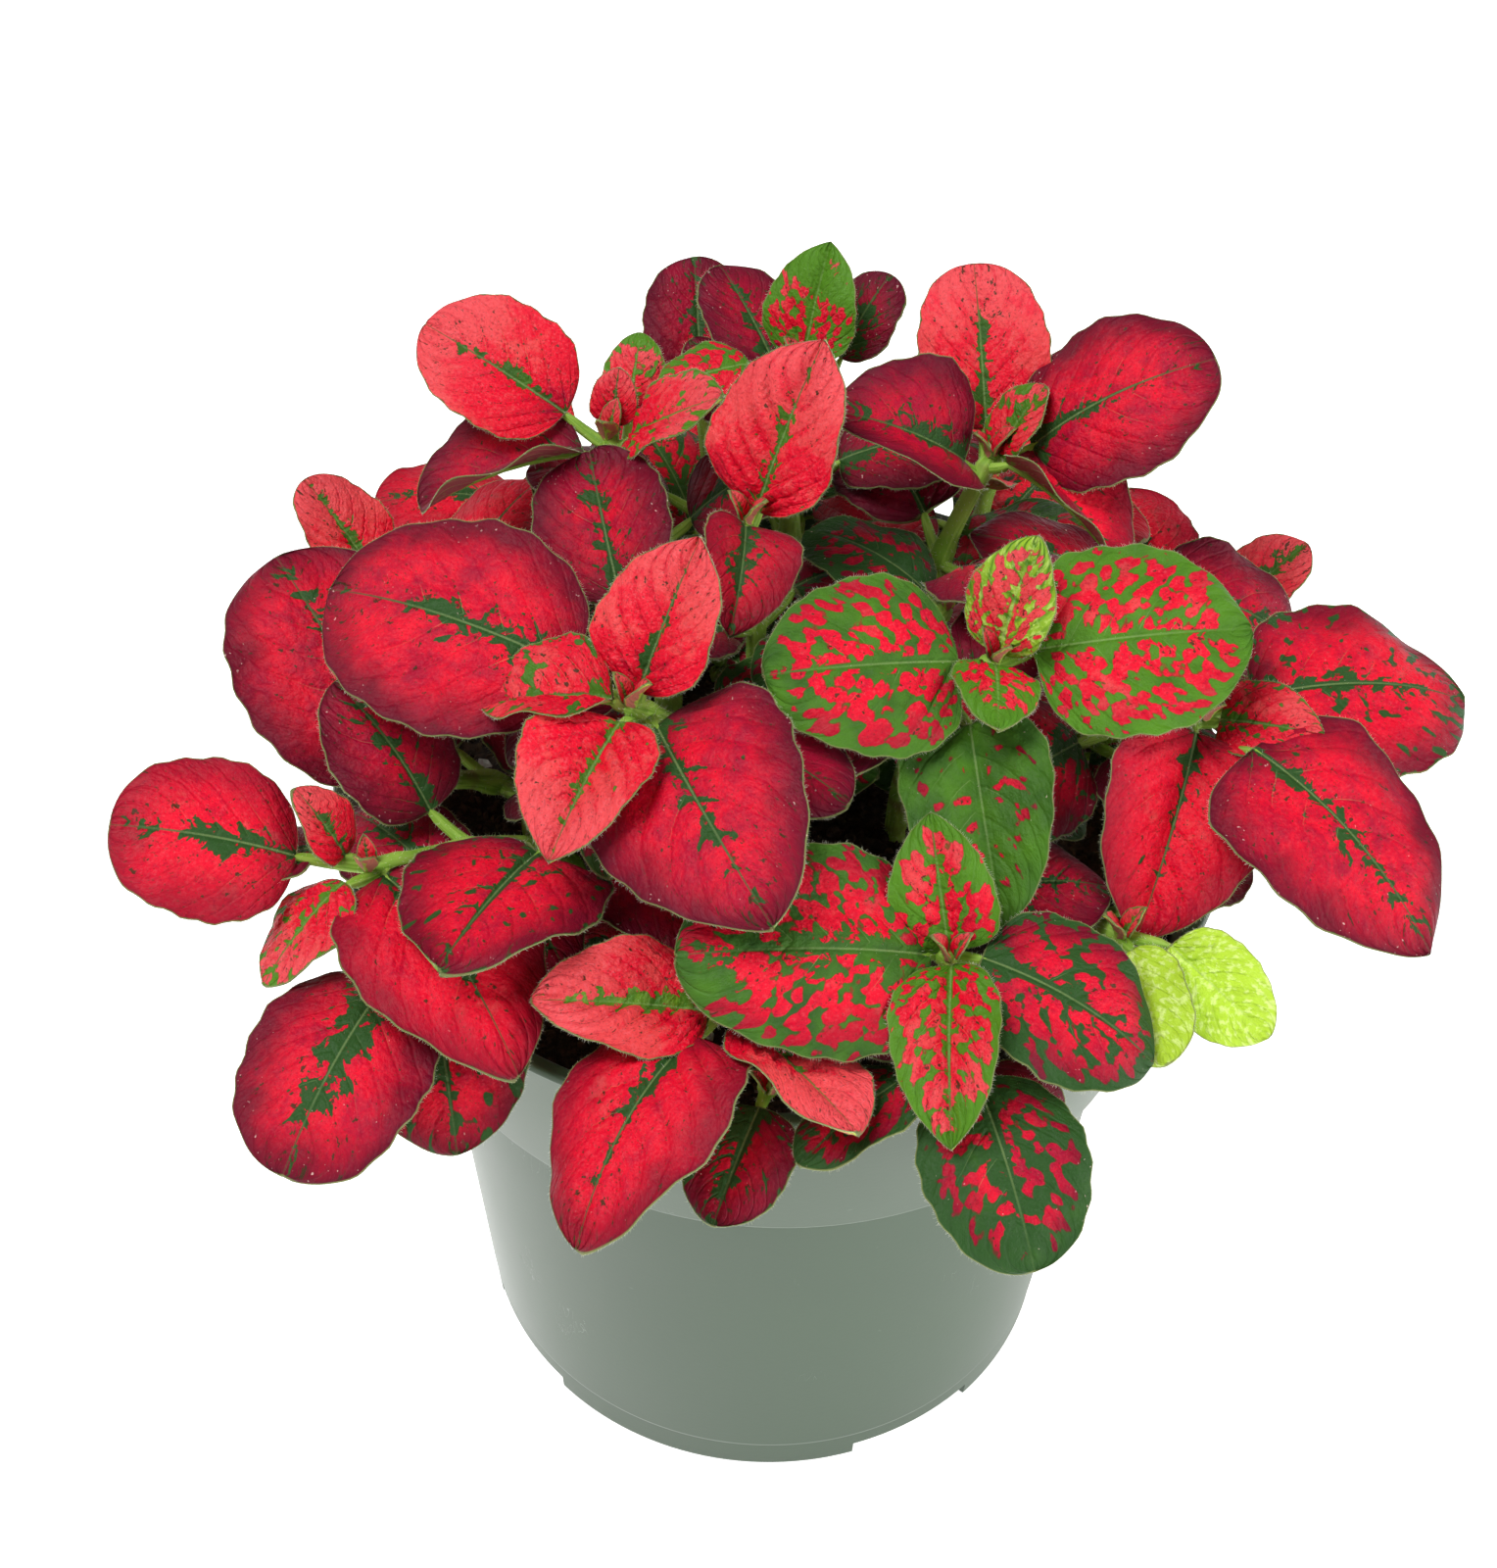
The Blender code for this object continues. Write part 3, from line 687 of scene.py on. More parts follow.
class Placed:
    """What already stands somewhere, for the test of the next piece."""

    def __init__(self, stem, kind, points, faces):
        self.stem = stem
        self.kind = kind
        self.low = [min(p[i] for p in points) for i in range(3)]
        self.high = [max(p[i] for p in points) for i in range(3)]
        self.tree = BVHTree.FromPolygons([tuple(p) for p in points], faces)

    def meets(self, other):
        near = all(self.low[i] <= other.high[i] and other.low[i] <= self.high[i] for i in range(3))
        return near and bool(self.tree.overlap(other.tree))


def is_clear(leaf, stem, placed):
    """True where a leaf meets nothing, with room round it towards other stems."""
    points, faces = leaf.blade(BLADE_THICKNESS + 2 * CLEARANCE)
    if any(math.hypot(p.x, p.y) < RIM_RADIUS and p.z <= soil_height(p.x, p.y) for p in points):
        return False
    blade = Placed(stem, "blade", points, faces)
    stalk = Placed(stem, "stalk", *leaf.stalk_tube())
    outer = Placed(stem, "blade", *leaf.blade(BLADE_THICKNESS, CROWDED_BASE))
    for other in placed:
        if other.stem == stem:
            if other.kind != "stalk" and outer.meets(other):
                return False
        elif blade.meets(other) or stalk.meets(other):
            return False
    return True


def settle(leaf, stem, placed):
    """The leaf bent clear of what stands already, or None where there is no room."""
    options = sorted((abs(turn) + abs(lift), turn, lift) for turn in TURNS for lift in LIFTS)
    for shrink in SHRINKS:
        for _, turn, lift in options:
            tried = leaf.moved(turn, lift, shrink)
            if is_clear(tried, stem, placed):
                return tried
    return None


print("the soil's top is", round(soil_height(0, 0) / MM, 1), "mm high in the middle")

# %% Rows of leaves by rule
SEED = 11
PAIR_TURN = 90
RULED_LOOKS = ("coral", "red", "flecked")
RULED_SPACING = 8.0
RULED_STALK = 6.0
RULED_RISE = 34
RULED_FALL = 18
RULED_LENGTH = 15
RULED_GROWTH = 4.5
TIP_STALK = 2
LEAF_SHAPE = 0.80
LENGTH_SPREAD = 1.5
HEADING_SPREAD = 12
RISE_SPREAD = 6
ROLL_SPREAD = 8
LOWER_LOOKS = ("crimson", "splashed")
LOWER_FIRST = 13.0
LOWER_RISE = 4
LOWER_LENGTH = 19
LOWEST_JOINT = 3.0


def opposite_pair(drop, heading, rise, length, form, look, outline, draw):
    """Two leaves facing away from each other at one joint of a stem."""
    rows = []
    for side in (0, 180):
        size = length + draw.uniform(-LENGTH_SPREAD, LENGTH_SPREAD)
        turn = heading + side + draw.uniform(-HEADING_SPREAD, HEADING_SPREAD)
        lift = rise + draw.uniform(-RISE_SPREAD, RISE_SPREAD)
        roll = draw.uniform(-ROLL_SPREAD, ROLL_SPREAD)
        stalk = RULED_STALK if drop else TIP_STALK
        rows.append(Row(drop, stalk, turn, lift, size, size * LEAF_SHAPE, roll, form, look, outline))
    return rows


def ruled_rows(heading, draw):
    """Opposite pairs, each a quarter turn from the last and larger further down."""
    rows = []
    for pair, look in enumerate(RULED_LOOKS):
        form, outline = ("arched", "round") if pair else ("cupped", "oval")
        place = (RULED_SPACING * pair, heading + PAIR_TURN * pair)
        size = (RULED_RISE - RULED_FALL * pair, RULED_LENGTH + RULED_GROWTH * pair)
        rows += opposite_pair(*place, *size, form, look, outline, draw)
    return rows


def lower_rows(root, tip, draw):
    """The older pairs low on a stem, the first of them across its lean."""
    lean = math.degrees(math.atan2(tip[1] - root[1], tip[0] - root[0]))
    free = tip[2] - SOIL_TOP / MM - LOWEST_JOINT
    rows = []
    for pair, look in enumerate(LOWER_LOOKS):
        drop = LOWER_FIRST + RULED_SPACING * pair
        heading = lean + PAIR_TURN * (1 + pair)
        if drop < free:
            rows += opposite_pair(drop, heading, LOWER_RISE, LOWER_LENGTH, "arched", look, "oval", draw)
    return rows


print("a stem on the far side gets", len(ruled_rows(0, random.Random(SEED))), "leaves by rule")

# %% Grow the leaves
def grow():
    """Every stem's line and the leaves that found room on it."""
    draw = random.Random(SEED)
    lines = {name: stem_line(root, tip) for name, (root, tip, _) in (STEMS | RULED_STEMS).items()}
    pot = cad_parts["pot"].data
    pot_faces = [tuple(face.vertices) for face in pot.polygons]
    placed = [Placed("pot", "pot", [v.co for v in pot.vertices], pot_faces)]
    placed += [Placed(name, "stem", *stem_tube(line)) for name, line in lines.items()]
    wanted = [(name, rows) for name, (_, _, rows) in STEMS.items()]
    wanted += [(name, ruled_rows(heading, draw)) for name, (_, _, heading) in RULED_STEMS.items()]
    wanted += [(name, lower_rows(root, tip, draw)) for name, (root, tip, _) in STEMS.items()]
    grown = {name: [] for name in lines}
    for name, rows in wanted:
        for row in rows:
            leaf = settle(Leaf(lines[name], row), name, placed)
            if leaf:
                placed.append(Placed(name, "blade", *leaf.blade(BLADE_THICKNESS)))
                placed.append(Placed(name, "stalk", *leaf.stalk_tube()))
                grown[name].append(leaf)
    found = sum(map(len, grown.values()))
    print(found, "leaves found room and", sum(len(rows) for _, rows in wanted) - found, "did not")
    return lines, grown


stem_lines, stem_leaves = grow()

# %% [markdown]
# ## A fine leaf
#
# A real blade is thin, and it isn't smooth. Side veins leave the midrib and curve towards the
# tip. They lie low, and the flesh between them stands up in soft pillows, most of all on
# young leaves. The midrib is a groove above and a ridge below, and the rim waves a little.
# All of that is a height over the same formula, so it is real shape and not only shading.
# Four attributes are kept at each point for the material: where it is among the veins, where
# it is in millimetres, where it is in a grid that follows the veins, and how the leaf is
# coloured.

# %% Looks and outlines
# Each look: how red (from 1 up there is no green flesh), age from young to old, and width of
# the green splash in millimetres
LOOKS = {
    "bud": (1.02, 0.06, 0.3),
    "coral": (1.08, 0.00, 1.0),
    "young": (0.84, 0.12, 0.8),
    "red": (1.10, 0.42, 1.4),
    "rose": (1.10, 0.62, 1.0),
    "deep": (1.10, 0.72, 1.7),
    "crimson": (1.04, 1.00, 1.6),
    "flecked": (0.86, 0.66, 2.2),
    "splashed": (0.66, 0.52, 1.8),
    "speckled": (0.64, 0.14, 0.7),
    "blotched": (0.61, 0.34, 1.5),
    "lime": (0.68, -0.25, 0.6),
    "mottled": (0.50, 0.85, 1.8),
    "green": (0.27, 0.72, 2.0),
    "pale": (-0.15, -0.60, 2.0),
}
# Each outline: how blunt its base and its tip are, the depth of the lobes at its base, and
# how deeply such a leaf is quilted
OUTLINES = {
    "round": (0.46, 0.48, 0.05, 0.45),
    "oval": (0.46, 0.58, 0.07, 0.75),
    "pointed": (0.55, 0.78, 0.05, 0.95),
    "spade": (0.46, 0.76, 0.12, 1.05),
}
print(len(LOOKS), "kinds of leaf in", len(OUTLINES), "outlines")

# %% Relief of the upper face
SIDE_VEINS = 6.5
VEIN_SWEEP = 0.30
VEIN_CURL = 0.20
SIDE_SHIFT = 0.35
FULL_LEAF = 20 * MM
LARGEST_SCALE = 1.25
PILLOW = 0.62 * MM
PILLOW_POWER = 1.3
GROOVE = 0.25 * MM
GROOVE_WIDTH = 0.8 * MM
WAVE = 0.55 * MM
WAVES = 13
DENT = 0.75 * MM
DENT_SPREAD = 6.5 * MM


def smooth(low, high, value):
    share = min(max((value - low) / (high - low), 0), 1)
    return share * share * (3 - 2 * share)


def vein_phase(u, v):
    """A number that is whole on each side vein and halfway between them."""
    side = abs(v)
    phase = SIDE_VEINS * (u - VEIN_SWEEP * side - VEIN_CURL * side * side)
    return phase + (SIDE_SHIFT if v < 0 else 0)


def relief(leaf, half, u, v, quilt, seed):
    """Height of the upper face over the leaf's middle surface."""
    side = abs(v)
    phase = vein_phase(u, v)
    scale = min(leaf.length / FULL_LEAF, LARGEST_SCALE)
    # Pillows between the side veins, flat at the midrib and the rim, and not all of one height
    pillow = abs(math.sin(math.pi * phase)) ** PILLOW_POWER
    pillow = pillow * smooth(0.02, 0.20, side) * (1 - smooth(0.50, 0.95, side))
    each = 0.75 + 0.5 * math.sin(math.floor(phase) * 2.4 + seed * 9 + (2 if v > 0 else 0)) ** 2
    height = PILLOW * quilt * (1.25 - 0.95 * u) * smooth(0, 0.14, u) * scale * pillow * each
    # Soft dents, the groove of the midrib and the wave of the rim
    place = Vector((u * leaf.length, v * half, seed)) / DENT_SPREAD
    height += DENT * scale * noise.noise(place) * smooth(0.05, 0.3, side)
    height -= GROOVE * scale * math.exp(-(side * half / GROOVE_WIDTH) ** 2) * (1 - u)
    height += WAVE * scale * side ** 3 * math.sin(WAVES * u + (3 if v > 0 else 0) + seed * 5)
    return height


print("side veins across half a leaf:", math.floor(vein_phase(1, 0)))

# %% The finished shape of a leaf
SCALLOP = 0.019
RED_SPREAD = 0.03
AGE_SPREAD = 0.12
SPLASH_SPREAD = (0.7, 1.2)
TIP_SPREAD = 0.03


class FineLeaf:
    """The finished shape of one leaf: its outline, its relief and its colours."""

    def __init__(self, leaf, draw):
        self.leaf = leaf
        self.up = leaf.axes[2]
        self.seed = draw.random()
        red, age, splash = LOOKS[leaf.row.look]
        red += draw.uniform(-RED_SPREAD, RED_SPREAD)
        own_age = age + draw.uniform(-AGE_SPREAD, AGE_SPREAD)
        self.kind = (red, own_age, splash * draw.uniform(*SPLASH_SPREAD))
        self.blunt_base, self.blunt_tip, self.lobe, quilt = OUTLINES[leaf.row.outline]
        self.blunt_tip += draw.uniform(-TIP_SPREAD, TIP_SPREAD)
        self.quilt = quilt * (0.7 + 1.7 * min(max(1 - age * 2, 0), 1))

    def half(self, u, v):
        """Half the blade's width, a little scalloped between the side veins."""
        widest = self.blunt_base / (self.blunt_base + self.blunt_tip)
        near = (min(max(u, 0), 1) / widest) ** self.blunt_base
        far = ((1 - min(max(u, 0), 1)) / (1 - widest)) ** self.blunt_tip
        scallop = 1 - SCALLOP * math.cos(math.tau * vein_phase(u, math.copysign(1, v)))
        return near * far * scallop * self.leaf.width / 2

    def middle(self, u, v):
        """A point of the blade's middle surface, with its relief."""
        half = self.half(u, v)
        height = relief(self.leaf, half, u, v, self.quilt, self.seed)
        return self.leaf.bent(u, v, half, self.lobe, height)

    def rim(self, steps):
        """Points round the rim and the direction outwards at each."""
        points = []
        outward = []
        for side in (1, -1):
            for i in range(1, steps):
                u = 0.5 - 0.5 * math.cos(math.pi * i / steps)
                u = u if side > 0 else 1 - u
                at = self.middle(u, side)
                points.append(at)
                outward.append((at - self.middle(0.5 + (u - 0.5) * 0.93, side * 0.85)).normalized())
        return points, outward


print("fine leaves can be worked out")

# %% Fine blades
TOP, UNDER, SKIN = 0, 1, 2
GRID = 0.56 * MM
FEWEST_STEPS = 8
FEWEST_COLUMNS = 6
FLESH = 0.42 * MM
RIM_FLESH = 0.18 * MM
SEED_SPREAD = 40


def fine_blade(shape, fine):
    """Adds one veined blade: an upper face, an under face and a rim between them."""
    leaf = fine.leaf
    steps = max(FEWEST_STEPS, round(leaf.length / GRID))
    columns = max(FEWEST_COLUMNS, round(leaf.width / GRID / 2) * 2)
    across = [math.sin(math.pi / 2 * (-1 + 2 * j / columns)) for j in range(columns + 1)]
    top, under, veins, grain, flow, rows = [], [], [], [], [], []
    for i in range(steps + 1):
        u = 0.5 - 0.5 * math.cos(math.pi * i / steps)
        sides = [0.0] if i in (0, steps) else across
        rows.append(range(len(top), len(top) + len(sides)))
        for v in sides:
            half = fine.half(u, v)
            flesh = RIM_FLESH + (FLESH - RIM_FLESH) * (1 - abs(v) ** 4)
            at = fine.middle(u, v)
            top.append(at + fine.up * flesh / 2)
            under.append(at - fine.up * flesh / 2)
            run = u * leaf.length / MM
            left = leaf.length / MM - run
            phase = vein_phase(u, v)
            veins.append((phase, half * v / MM, min(half * (1 - abs(v)) / MM, run, left)))
            grain.append((run, half * v / MM, fine.seed * SEED_SPREAD))
            flow.append((phase * leaf.length / SIDE_VEINS / MM, u, left))
    count = len(top)
    faces = []
    edges = []
    for low, high in zip(rows, rows[1:]):
        faces += bridge(low, high, closed=False)
        edges.append((low[0], low[0] + count, high[0] + count, high[0]))
        edges.append((low[-1], high[-1], high[-1] + count, low[-1] + count))
    slots = [TOP] * len(faces) + [UNDER] * len(faces) + [TOP] * len(edges)
    kind = [fine.kind] * (2 * count)
    faces += turned_over(faces, count) + edges
    shape.add(top + under, faces, slots, veins=veins * 2, grain=grain * 2, flow=flow * 2, kind=kind)


print("fine blades ready")

# %% [markdown]
# ## Stalks and stems
#
# A leaf stalk is a soft round rod that swells where it joins the stem and runs on under the
# blade as its midrib. Both it and the stem are swept tubes. A curve with a bevel would do,
# but a tube made point by point can swell at each joint and taper to nothing under the leaf.

# %% Fine stalks and stems
STALK_STEPS = 5
STALK_FINE_SIDES = 8
STALK_SWELL = 1.15
STALK_THINS = 0.35
STALK_SAG = 0.08
RIB_STEPS = 7
RIB_START = 0.02
RIB_END = 0.9
RIB_RADIUS = 0.40 * MM
RIB_SINK = 0.24 * MM
JOINT_SINK = 0.25 * MM
RIB_THINS = 0.75
RIB_LARGEST = 1.2
STEM_FINE_STEPS = 34
STEM_FINE_SIDES = 14
STEM_TIP_CLOSES = 0.6
JOINT_SWELL = 0.35
JOINT_SPREAD = 1.6 * MM
STEM_KIND = (0.3, 0.5, 1.0)
FAR_FROM_RIM = (0.0, 0.0, 9.0)


def add_tube(shape, line, radii, sides, seed, kind):
    """Adds a smooth closed tube to a shape, with its length and turn kept for the material."""
    points, faces = tube(line, radii, sides)
    count = len(points)
    run = [0.0]
    for a, b in zip(line, line[1:]):
        run.append(run[-1] + (b - a).length / MM)
    turn = [math.sin(math.tau * s / sides) for s in range(sides)]
    grain = [(run[k // sides], turn[k % sides], seed * SEED_SPREAD) for k in range(count)]
    far = [FAR_FROM_RIM] * count
    shape.add(points, faces, [SKIN] * len(faces), veins=far, grain=grain, flow=far, kind=[kind] * count)


def fine_stalk(shape, fine):
    """The stalk, and the midrib that it becomes under the blade."""
    leaf = fine.leaf
    scale = min(leaf.length / FULL_LEAF, RIB_LARGEST)
    joint = fine.middle(RIB_START, 0) - fine.up * JOINT_SINK
    line = []
    radii = []
    for k in range(STALK_STEPS):
        t = k / STALK_STEPS
        sag = fine.up * math.sin(math.pi * t) * -STALK_SAG * leaf.stalk
        line.append(leaf.foot.lerp(joint, t) + sag)
        radii.append(STALK_RADIUS * (STALK_SWELL - STALK_THINS * t))
    for k in range(RIB_STEPS):
        t = k / (RIB_STEPS - 1)
        line.append(fine.middle(RIB_START + RIB_END * t, 0) - fine.up * RIB_SINK)
        radii.append(RIB_RADIUS * (1 - RIB_THINS * t) * scale)
    add_tube(shape, line, radii, STALK_FINE_SIDES, fine.seed, fine.kind)


def smooth_line(line, steps):
    """A smooth curve through a stem's points."""
    whole = [line[0] * 2 - line[1], *line, line[-1] * 2 - line[-2]]
    made = []
    for k in range(steps + 1):
        place = k / steps * (len(line) - 1)
        piece = min(int(place), len(line) - 2)
        t = place - piece
        a, b, c, d = whole[piece:piece + 4]
        square = a * 2 - b * 5 + c * 4 - d
        cube = b * 3 - a - c * 3 + d
        made.append((b * 2 + (c - a) * t + square * t * t + cube * t ** 3) / 2)
    return made


def fine_stem(shape, line, leaves, seed):
    """The stem, swollen at each joint and rounded at its growing tip."""
    path = smooth_line(line, STEM_FINE_STEPS)
    joints = [along(line, leaf.row.drop * MM) for leaf in leaves]
    radii = []
    for k, place in enumerate(path):
        near = min((place - joint).length for joint in joints)
        swell = 1 + JOINT_SWELL * math.exp(-(near / JOINT_SPREAD) ** 2)
        radii.append(stem_radius(k / STEM_FINE_STEPS) * swell)
    radii[-1] *= STEM_TIP_CLOSES
    add_tube(shape, path, radii, STEM_FINE_SIDES, seed, STEM_KIND)


print("fine stems ready")

# %% [markdown]
# ## The leaf's colours
#
# One material serves every leaf, from the red ones to the green ones with red blotches. A
# score is worked out at each point, and the leaf is red where the score is high and green
# where it is low. A noise that is slanted a little along the side veins decides it, and the
# share of red in the leaf's own look shifts it. A second score makes the splash along the
# midrib: it falls with the distance from the midrib, rises on the side veins and is broken
# up by another noise, so the splash becomes ragged stars with loose islands round them. Small
# dark flecks follow in rows. Age then moves the red from coral to deep crimson with a
# plum-coloured edge. The plain numbers in these sums are limits and strengths of a pattern,
# found by trying. Lengths in them are in millimetres.

# %% Colours
CORAL = (0.70, 0.050, 0.053)
ROSE = (0.70, 0.102, 0.125)
SCARLET = (0.70, 0.003, 0.022)
DEEP_CRIMSON = (0.32, 0.002, 0.025)
PLUM = (0.075, 0.002, 0.014)
PALE_GREEN = (0.58, 0.74, 0.190)
LIME_GREEN = (0.40, 0.60, 0.035)
LEAF_GREEN = (0.074, 0.205, 0.012)
OLD_GREEN = (0.022, 0.070, 0.014)
RIM_GREEN = (0.200, 0.230, 0.080)
VEIN_PALE = (0.30, 0.40, 0.15)
BROWN_EDGE = (0.070, 0.010, 0.008)
DARK_MARK = (0.040, 0.024, 0.008)
DUST = (0.85, 0.62, 0.55)
UNDER_YOUNG, UNDER_OLD = (0.50, 0.70, 0.08), (0.20, 0.32, 0.07)
UNDER_PINK, UNDER_ROSE = (0.60, 0.13, 0.15), (0.34, 0.045, 0.090)
UNDER_VEIN = (0.45, 0.56, 0.20)
SKIN_DARK, SKIN_LIGHT, SKIN_BLUSH = (0.150, 0.300, 0.022), (0.30, 0.48, 0.070), (0.16, 0.045, 0.030)
print("the reds run from", CORAL, "to", DEEP_CRIMSON)

# %% Signs of a leaf
class Signs:
    """What both faces of a leaf read from its attributes, as wires of one material."""

    def __init__(self, finish):
        self.phase, across, self.rim = finish.split(finish.attribute("veins"))
        self.place = finish.attribute("grain")
        run, _, seed = finish.split(self.place)
        down, self.along, tip = finish.split(finish.attribute("flow"))
        self.red, self.age, splash = finish.split(finish.attribute("kind"))
        self.beside = across.math("ABSOLUTE")
        self.vein = self.phase.off_whole()
        self.young = self.age.fall(0.0, 0.4)
        self.region = finish.noise(self.place, 0.16, 1.0)
        fine = 1.0 + self.young * 0.4
        self.slant = finish.vector((run * 0.7 + down * 0.3) * fine, across * fine, seed)
        at_vein = self.vein.fall(0.0, 0.13)
        at_rim = self.rim_green(finish, tip)
        share = self.blotches(finish, at_vein) * (1.0 - self.midrib_splash(finish, splash, at_vein))
        self.share = share * (1.0 - at_rim)
        self.edge = self.share * (1.0 - self.share) * 4.0
        self.marks = self.flecks(finish)

    def blotches(self, finish, at_vein):
        """1 on red flesh and 0 on green flesh."""
        blotch = finish.noise(self.slant, 0.62, 1.2, 0.5, 0.3)
        values = {"Vector": self.slant, "Scale": 0.60, "Smoothness": 0.25}
        cells = finish.node("ShaderNodeTexVoronoi", {"feature": "SMOOTH_F1"}, values, output="Distance")
        border = self.rim.fall(0.3, 2.2)
        score = (self.red - 0.5) * 1.15 + (blotch - 0.5) * 2.0
        score = score + (0.52 - cells) * self.red * (1.25 - self.red) * 3.4
        score = score - border * (1.0 - self.red) * 1.30 - at_vein * (1.0 - self.red) * 0.30
        return score.step(-0.06, 0.06)

    def midrib_splash(self, finish, splash, at_vein):
        """Ragged green stars along the midrib, and the green line that joins them."""
        ragged = finish.noise(self.slant, 0.50, 3.0, 0.6, 0.5)
        burst = finish.noise(self.slant, 0.13, 1.0)
        fade = self.along.fall(0.45, 0.95)
        score = (ragged - 0.5) * 4.1 + (burst - 0.5) * 2.6 + at_vein * 0.42 + fade * 0.80 - 0.52
        score = score - self.beside / splash * 0.60
        line = (1.2 - self.along * 1.25) * (0.05 + splash * 0.16) * (4.3 - self.red * 3.0)
        return score.step(-0.04, 0.08).math("MAXIMUM", (self.beside - line).fall(-0.08, 0.08))

    def rim_green(self, finish, tip):
        """Green along the rim of the greener leaves, and at some tips."""
        ragged = finish.noise(self.slant, 1.1, 2.0, 0.6)
        width = (ragged - 0.42) * (1.25 - self.red) * 4.0
        reach = (self.region - 0.38) * (1.0 - self.red) * 60.0 - 1.0
        at_tip = (tip + (ragged - 0.5) * 6.0 - reach).fall(-0.12, 0.20)
        return (self.rim - width).fall(-0.08, 0.14).math("MAXIMUM", at_tip)

    def flecks(self, finish):
        """Small dark marks, mostly near the veins and the midrib."""
        grit = finish.noise(self.slant, 1.35, 2.0, 0.6)
        near = self.vein.fall(0.05, 0.35) * 0.035 + self.beside.fall(1.0, 9.0) * 0.050
        marks = (grit - 0.705 + near + (self.region - 0.5) * 0.16).step(0.0, 0.04)
        specks = (finish.noise(self.slant, 3.2, 1.0) - 0.70 + near).step(0.0, 0.06) * 0.5
        return marks.math("MAXIMUM", specks)


print("the signs of a leaf can be read")

# %% Upper face
def red_flesh(finish, signs, soft, pores, tone):
    """Coral on young leaves, then scarlet, then crimson with a plum-coloured edge."""
    red = finish.mix(CORAL, SCARLET, tone.step(0.0, 0.36))
    red = finish.mix(red, DEEP_CRIMSON, tone.step(0.42, 1.25))
    pink = (pores - 0.53).step(0.0, 0.14) * (0.40 - signs.age * 0.36)
    # Painted highlight: young leaves turn rose towards the tip.
    red = finish.mix(red, ROSE, pink + signs.young * signs.along.step(0.35, 0.95) * 0.34)
    red = finish.mix(red, DEEP_CRIMSON, (0.46 - pores).step(0.0, 0.14) * 0.45)
    dusk = (signs.rim + (soft - 0.5) * 9.0).fall(0.0, 6.5) * signs.age.step(0.12, 0.66)
    return finish.mix(red, PLUM, dusk * 0.88)


def green_flesh(finish, signs, soft, lumps, crease_shade):
    """Lime on young leaves and dark on old ones, marbled on the palest, and darker in the creases as
    painted shade.
    """
    # Painted shade: the green turns darker along the creases of the side veins.
    fresh = (signs.age + (soft - 0.5) * 0.5 + crease_shade * 0.2).step(-0.50, 0.0)
    green = finish.mix(LIME_GREEN, LEAF_GREEN, fresh)
    marble = (lumps - 0.48).step(0.0, 0.16) * (0.45 - signs.age).step(0.4, 1.0)
    green = finish.mix(green, PALE_GREEN, marble)
    ripe = signs.age + signs.red * 0.9 + (soft - 0.5) * 0.5
    return finish.mix(green, OLD_GREEN, ripe.step(0.76, 1.20))


def leaf_top():
    """Red and green upper face, quilted and slightly glossy."""
    finish = Finish("leaf_top", Specular_IOR_Level=0.14)
    signs = Signs(finish)
    soft = finish.noise(signs.place, 0.22, 2.5, 0.55)
    pores = finish.noise(signs.place, 2.6, 3.0, 0.65)
    lumps = finish.noise(signs.slant, 0.9, 3.0, 0.6)
    inner = signs.beside.fall(1.5, 7.0)
    # Painted shade in the creases along the side veins: there the red turns deeper and the green darker.
    crease_shade = signs.vein.fall(0.0, 0.30) * inner
    tone = signs.age + (soft - 0.5) * 1.5 + (lumps - 0.5) * 0.9 + crease_shade * (0.06 + signs.young * 0.22)
    # Painted highlight and shade on young leaves: lighter towards the tip and deeper red at the base.
    tone = tone + signs.young * (0.60 - signs.along * 0.95)
    red = red_flesh(finish, signs, soft, pores, tone)
    colour = finish.mix(green_flesh(finish, signs, soft, lumps, crease_shade), red, signs.share)
    colour = finish.mix(colour, BROWN_EDGE, signs.edge * 0.55)
    colour = finish.mix(colour, DARK_MARK, signs.marks * signs.share * 0.92)
    midrib = signs.beside.fall(0.04, 0.18) * (0.05 + signs.along.fall(0.2, 1.0) * 0.28)
    side = signs.vein.fall(0.004, 0.024) * signs.beside.step(0.3, 1.2) * signs.region.step(0.42, 0.62)
    side = side * inner * signs.along.fall(0.50, 0.80)
    colour = finish.mix(colour, VEIN_PALE, midrib + side * 0.26)
    dark_line = signs.rim.fall(0.10, 0.75) * signs.age.step(0.1, 0.8)
    colour = finish.mix(colour, PLUM, dark_line * signs.share * 0.65)
    colour = finish.mix(colour, RIM_GREEN, signs.rim.fall(0.03, 0.17) * 0.85)
    dust = (finish.noise(signs.place, 2.4, 1.0) - 0.772 + signs.rim.fall(1.0, 5.5) * 0.05).step(0.0, 0.04)
    dust = dust * signs.age.step(0.35, 0.8) * signs.region.step(0.45, 0.60)
    colour = finish.mix(colour, DUST, dust * 0.55)
    height = pores * 0.25 + lumps * 1.2 + signs.vein.step(0.0, 0.14) * 0.25
    normal = finish.bump(height + signs.beside.step(0.1, 0.5) * 0.3, 0.55 * MM, 0.7)
    gloss = 0.50 - signs.young * 0.14 + (pores - 0.5) * 0.2
    return finish.drive(Base_Color=colour, Roughness=gloss, Normal=normal)


leaf_finishes = [leaf_top()]
print(leaf_finishes[0].name, "has", len(leaf_finishes[0].node_tree.nodes), "nodes")

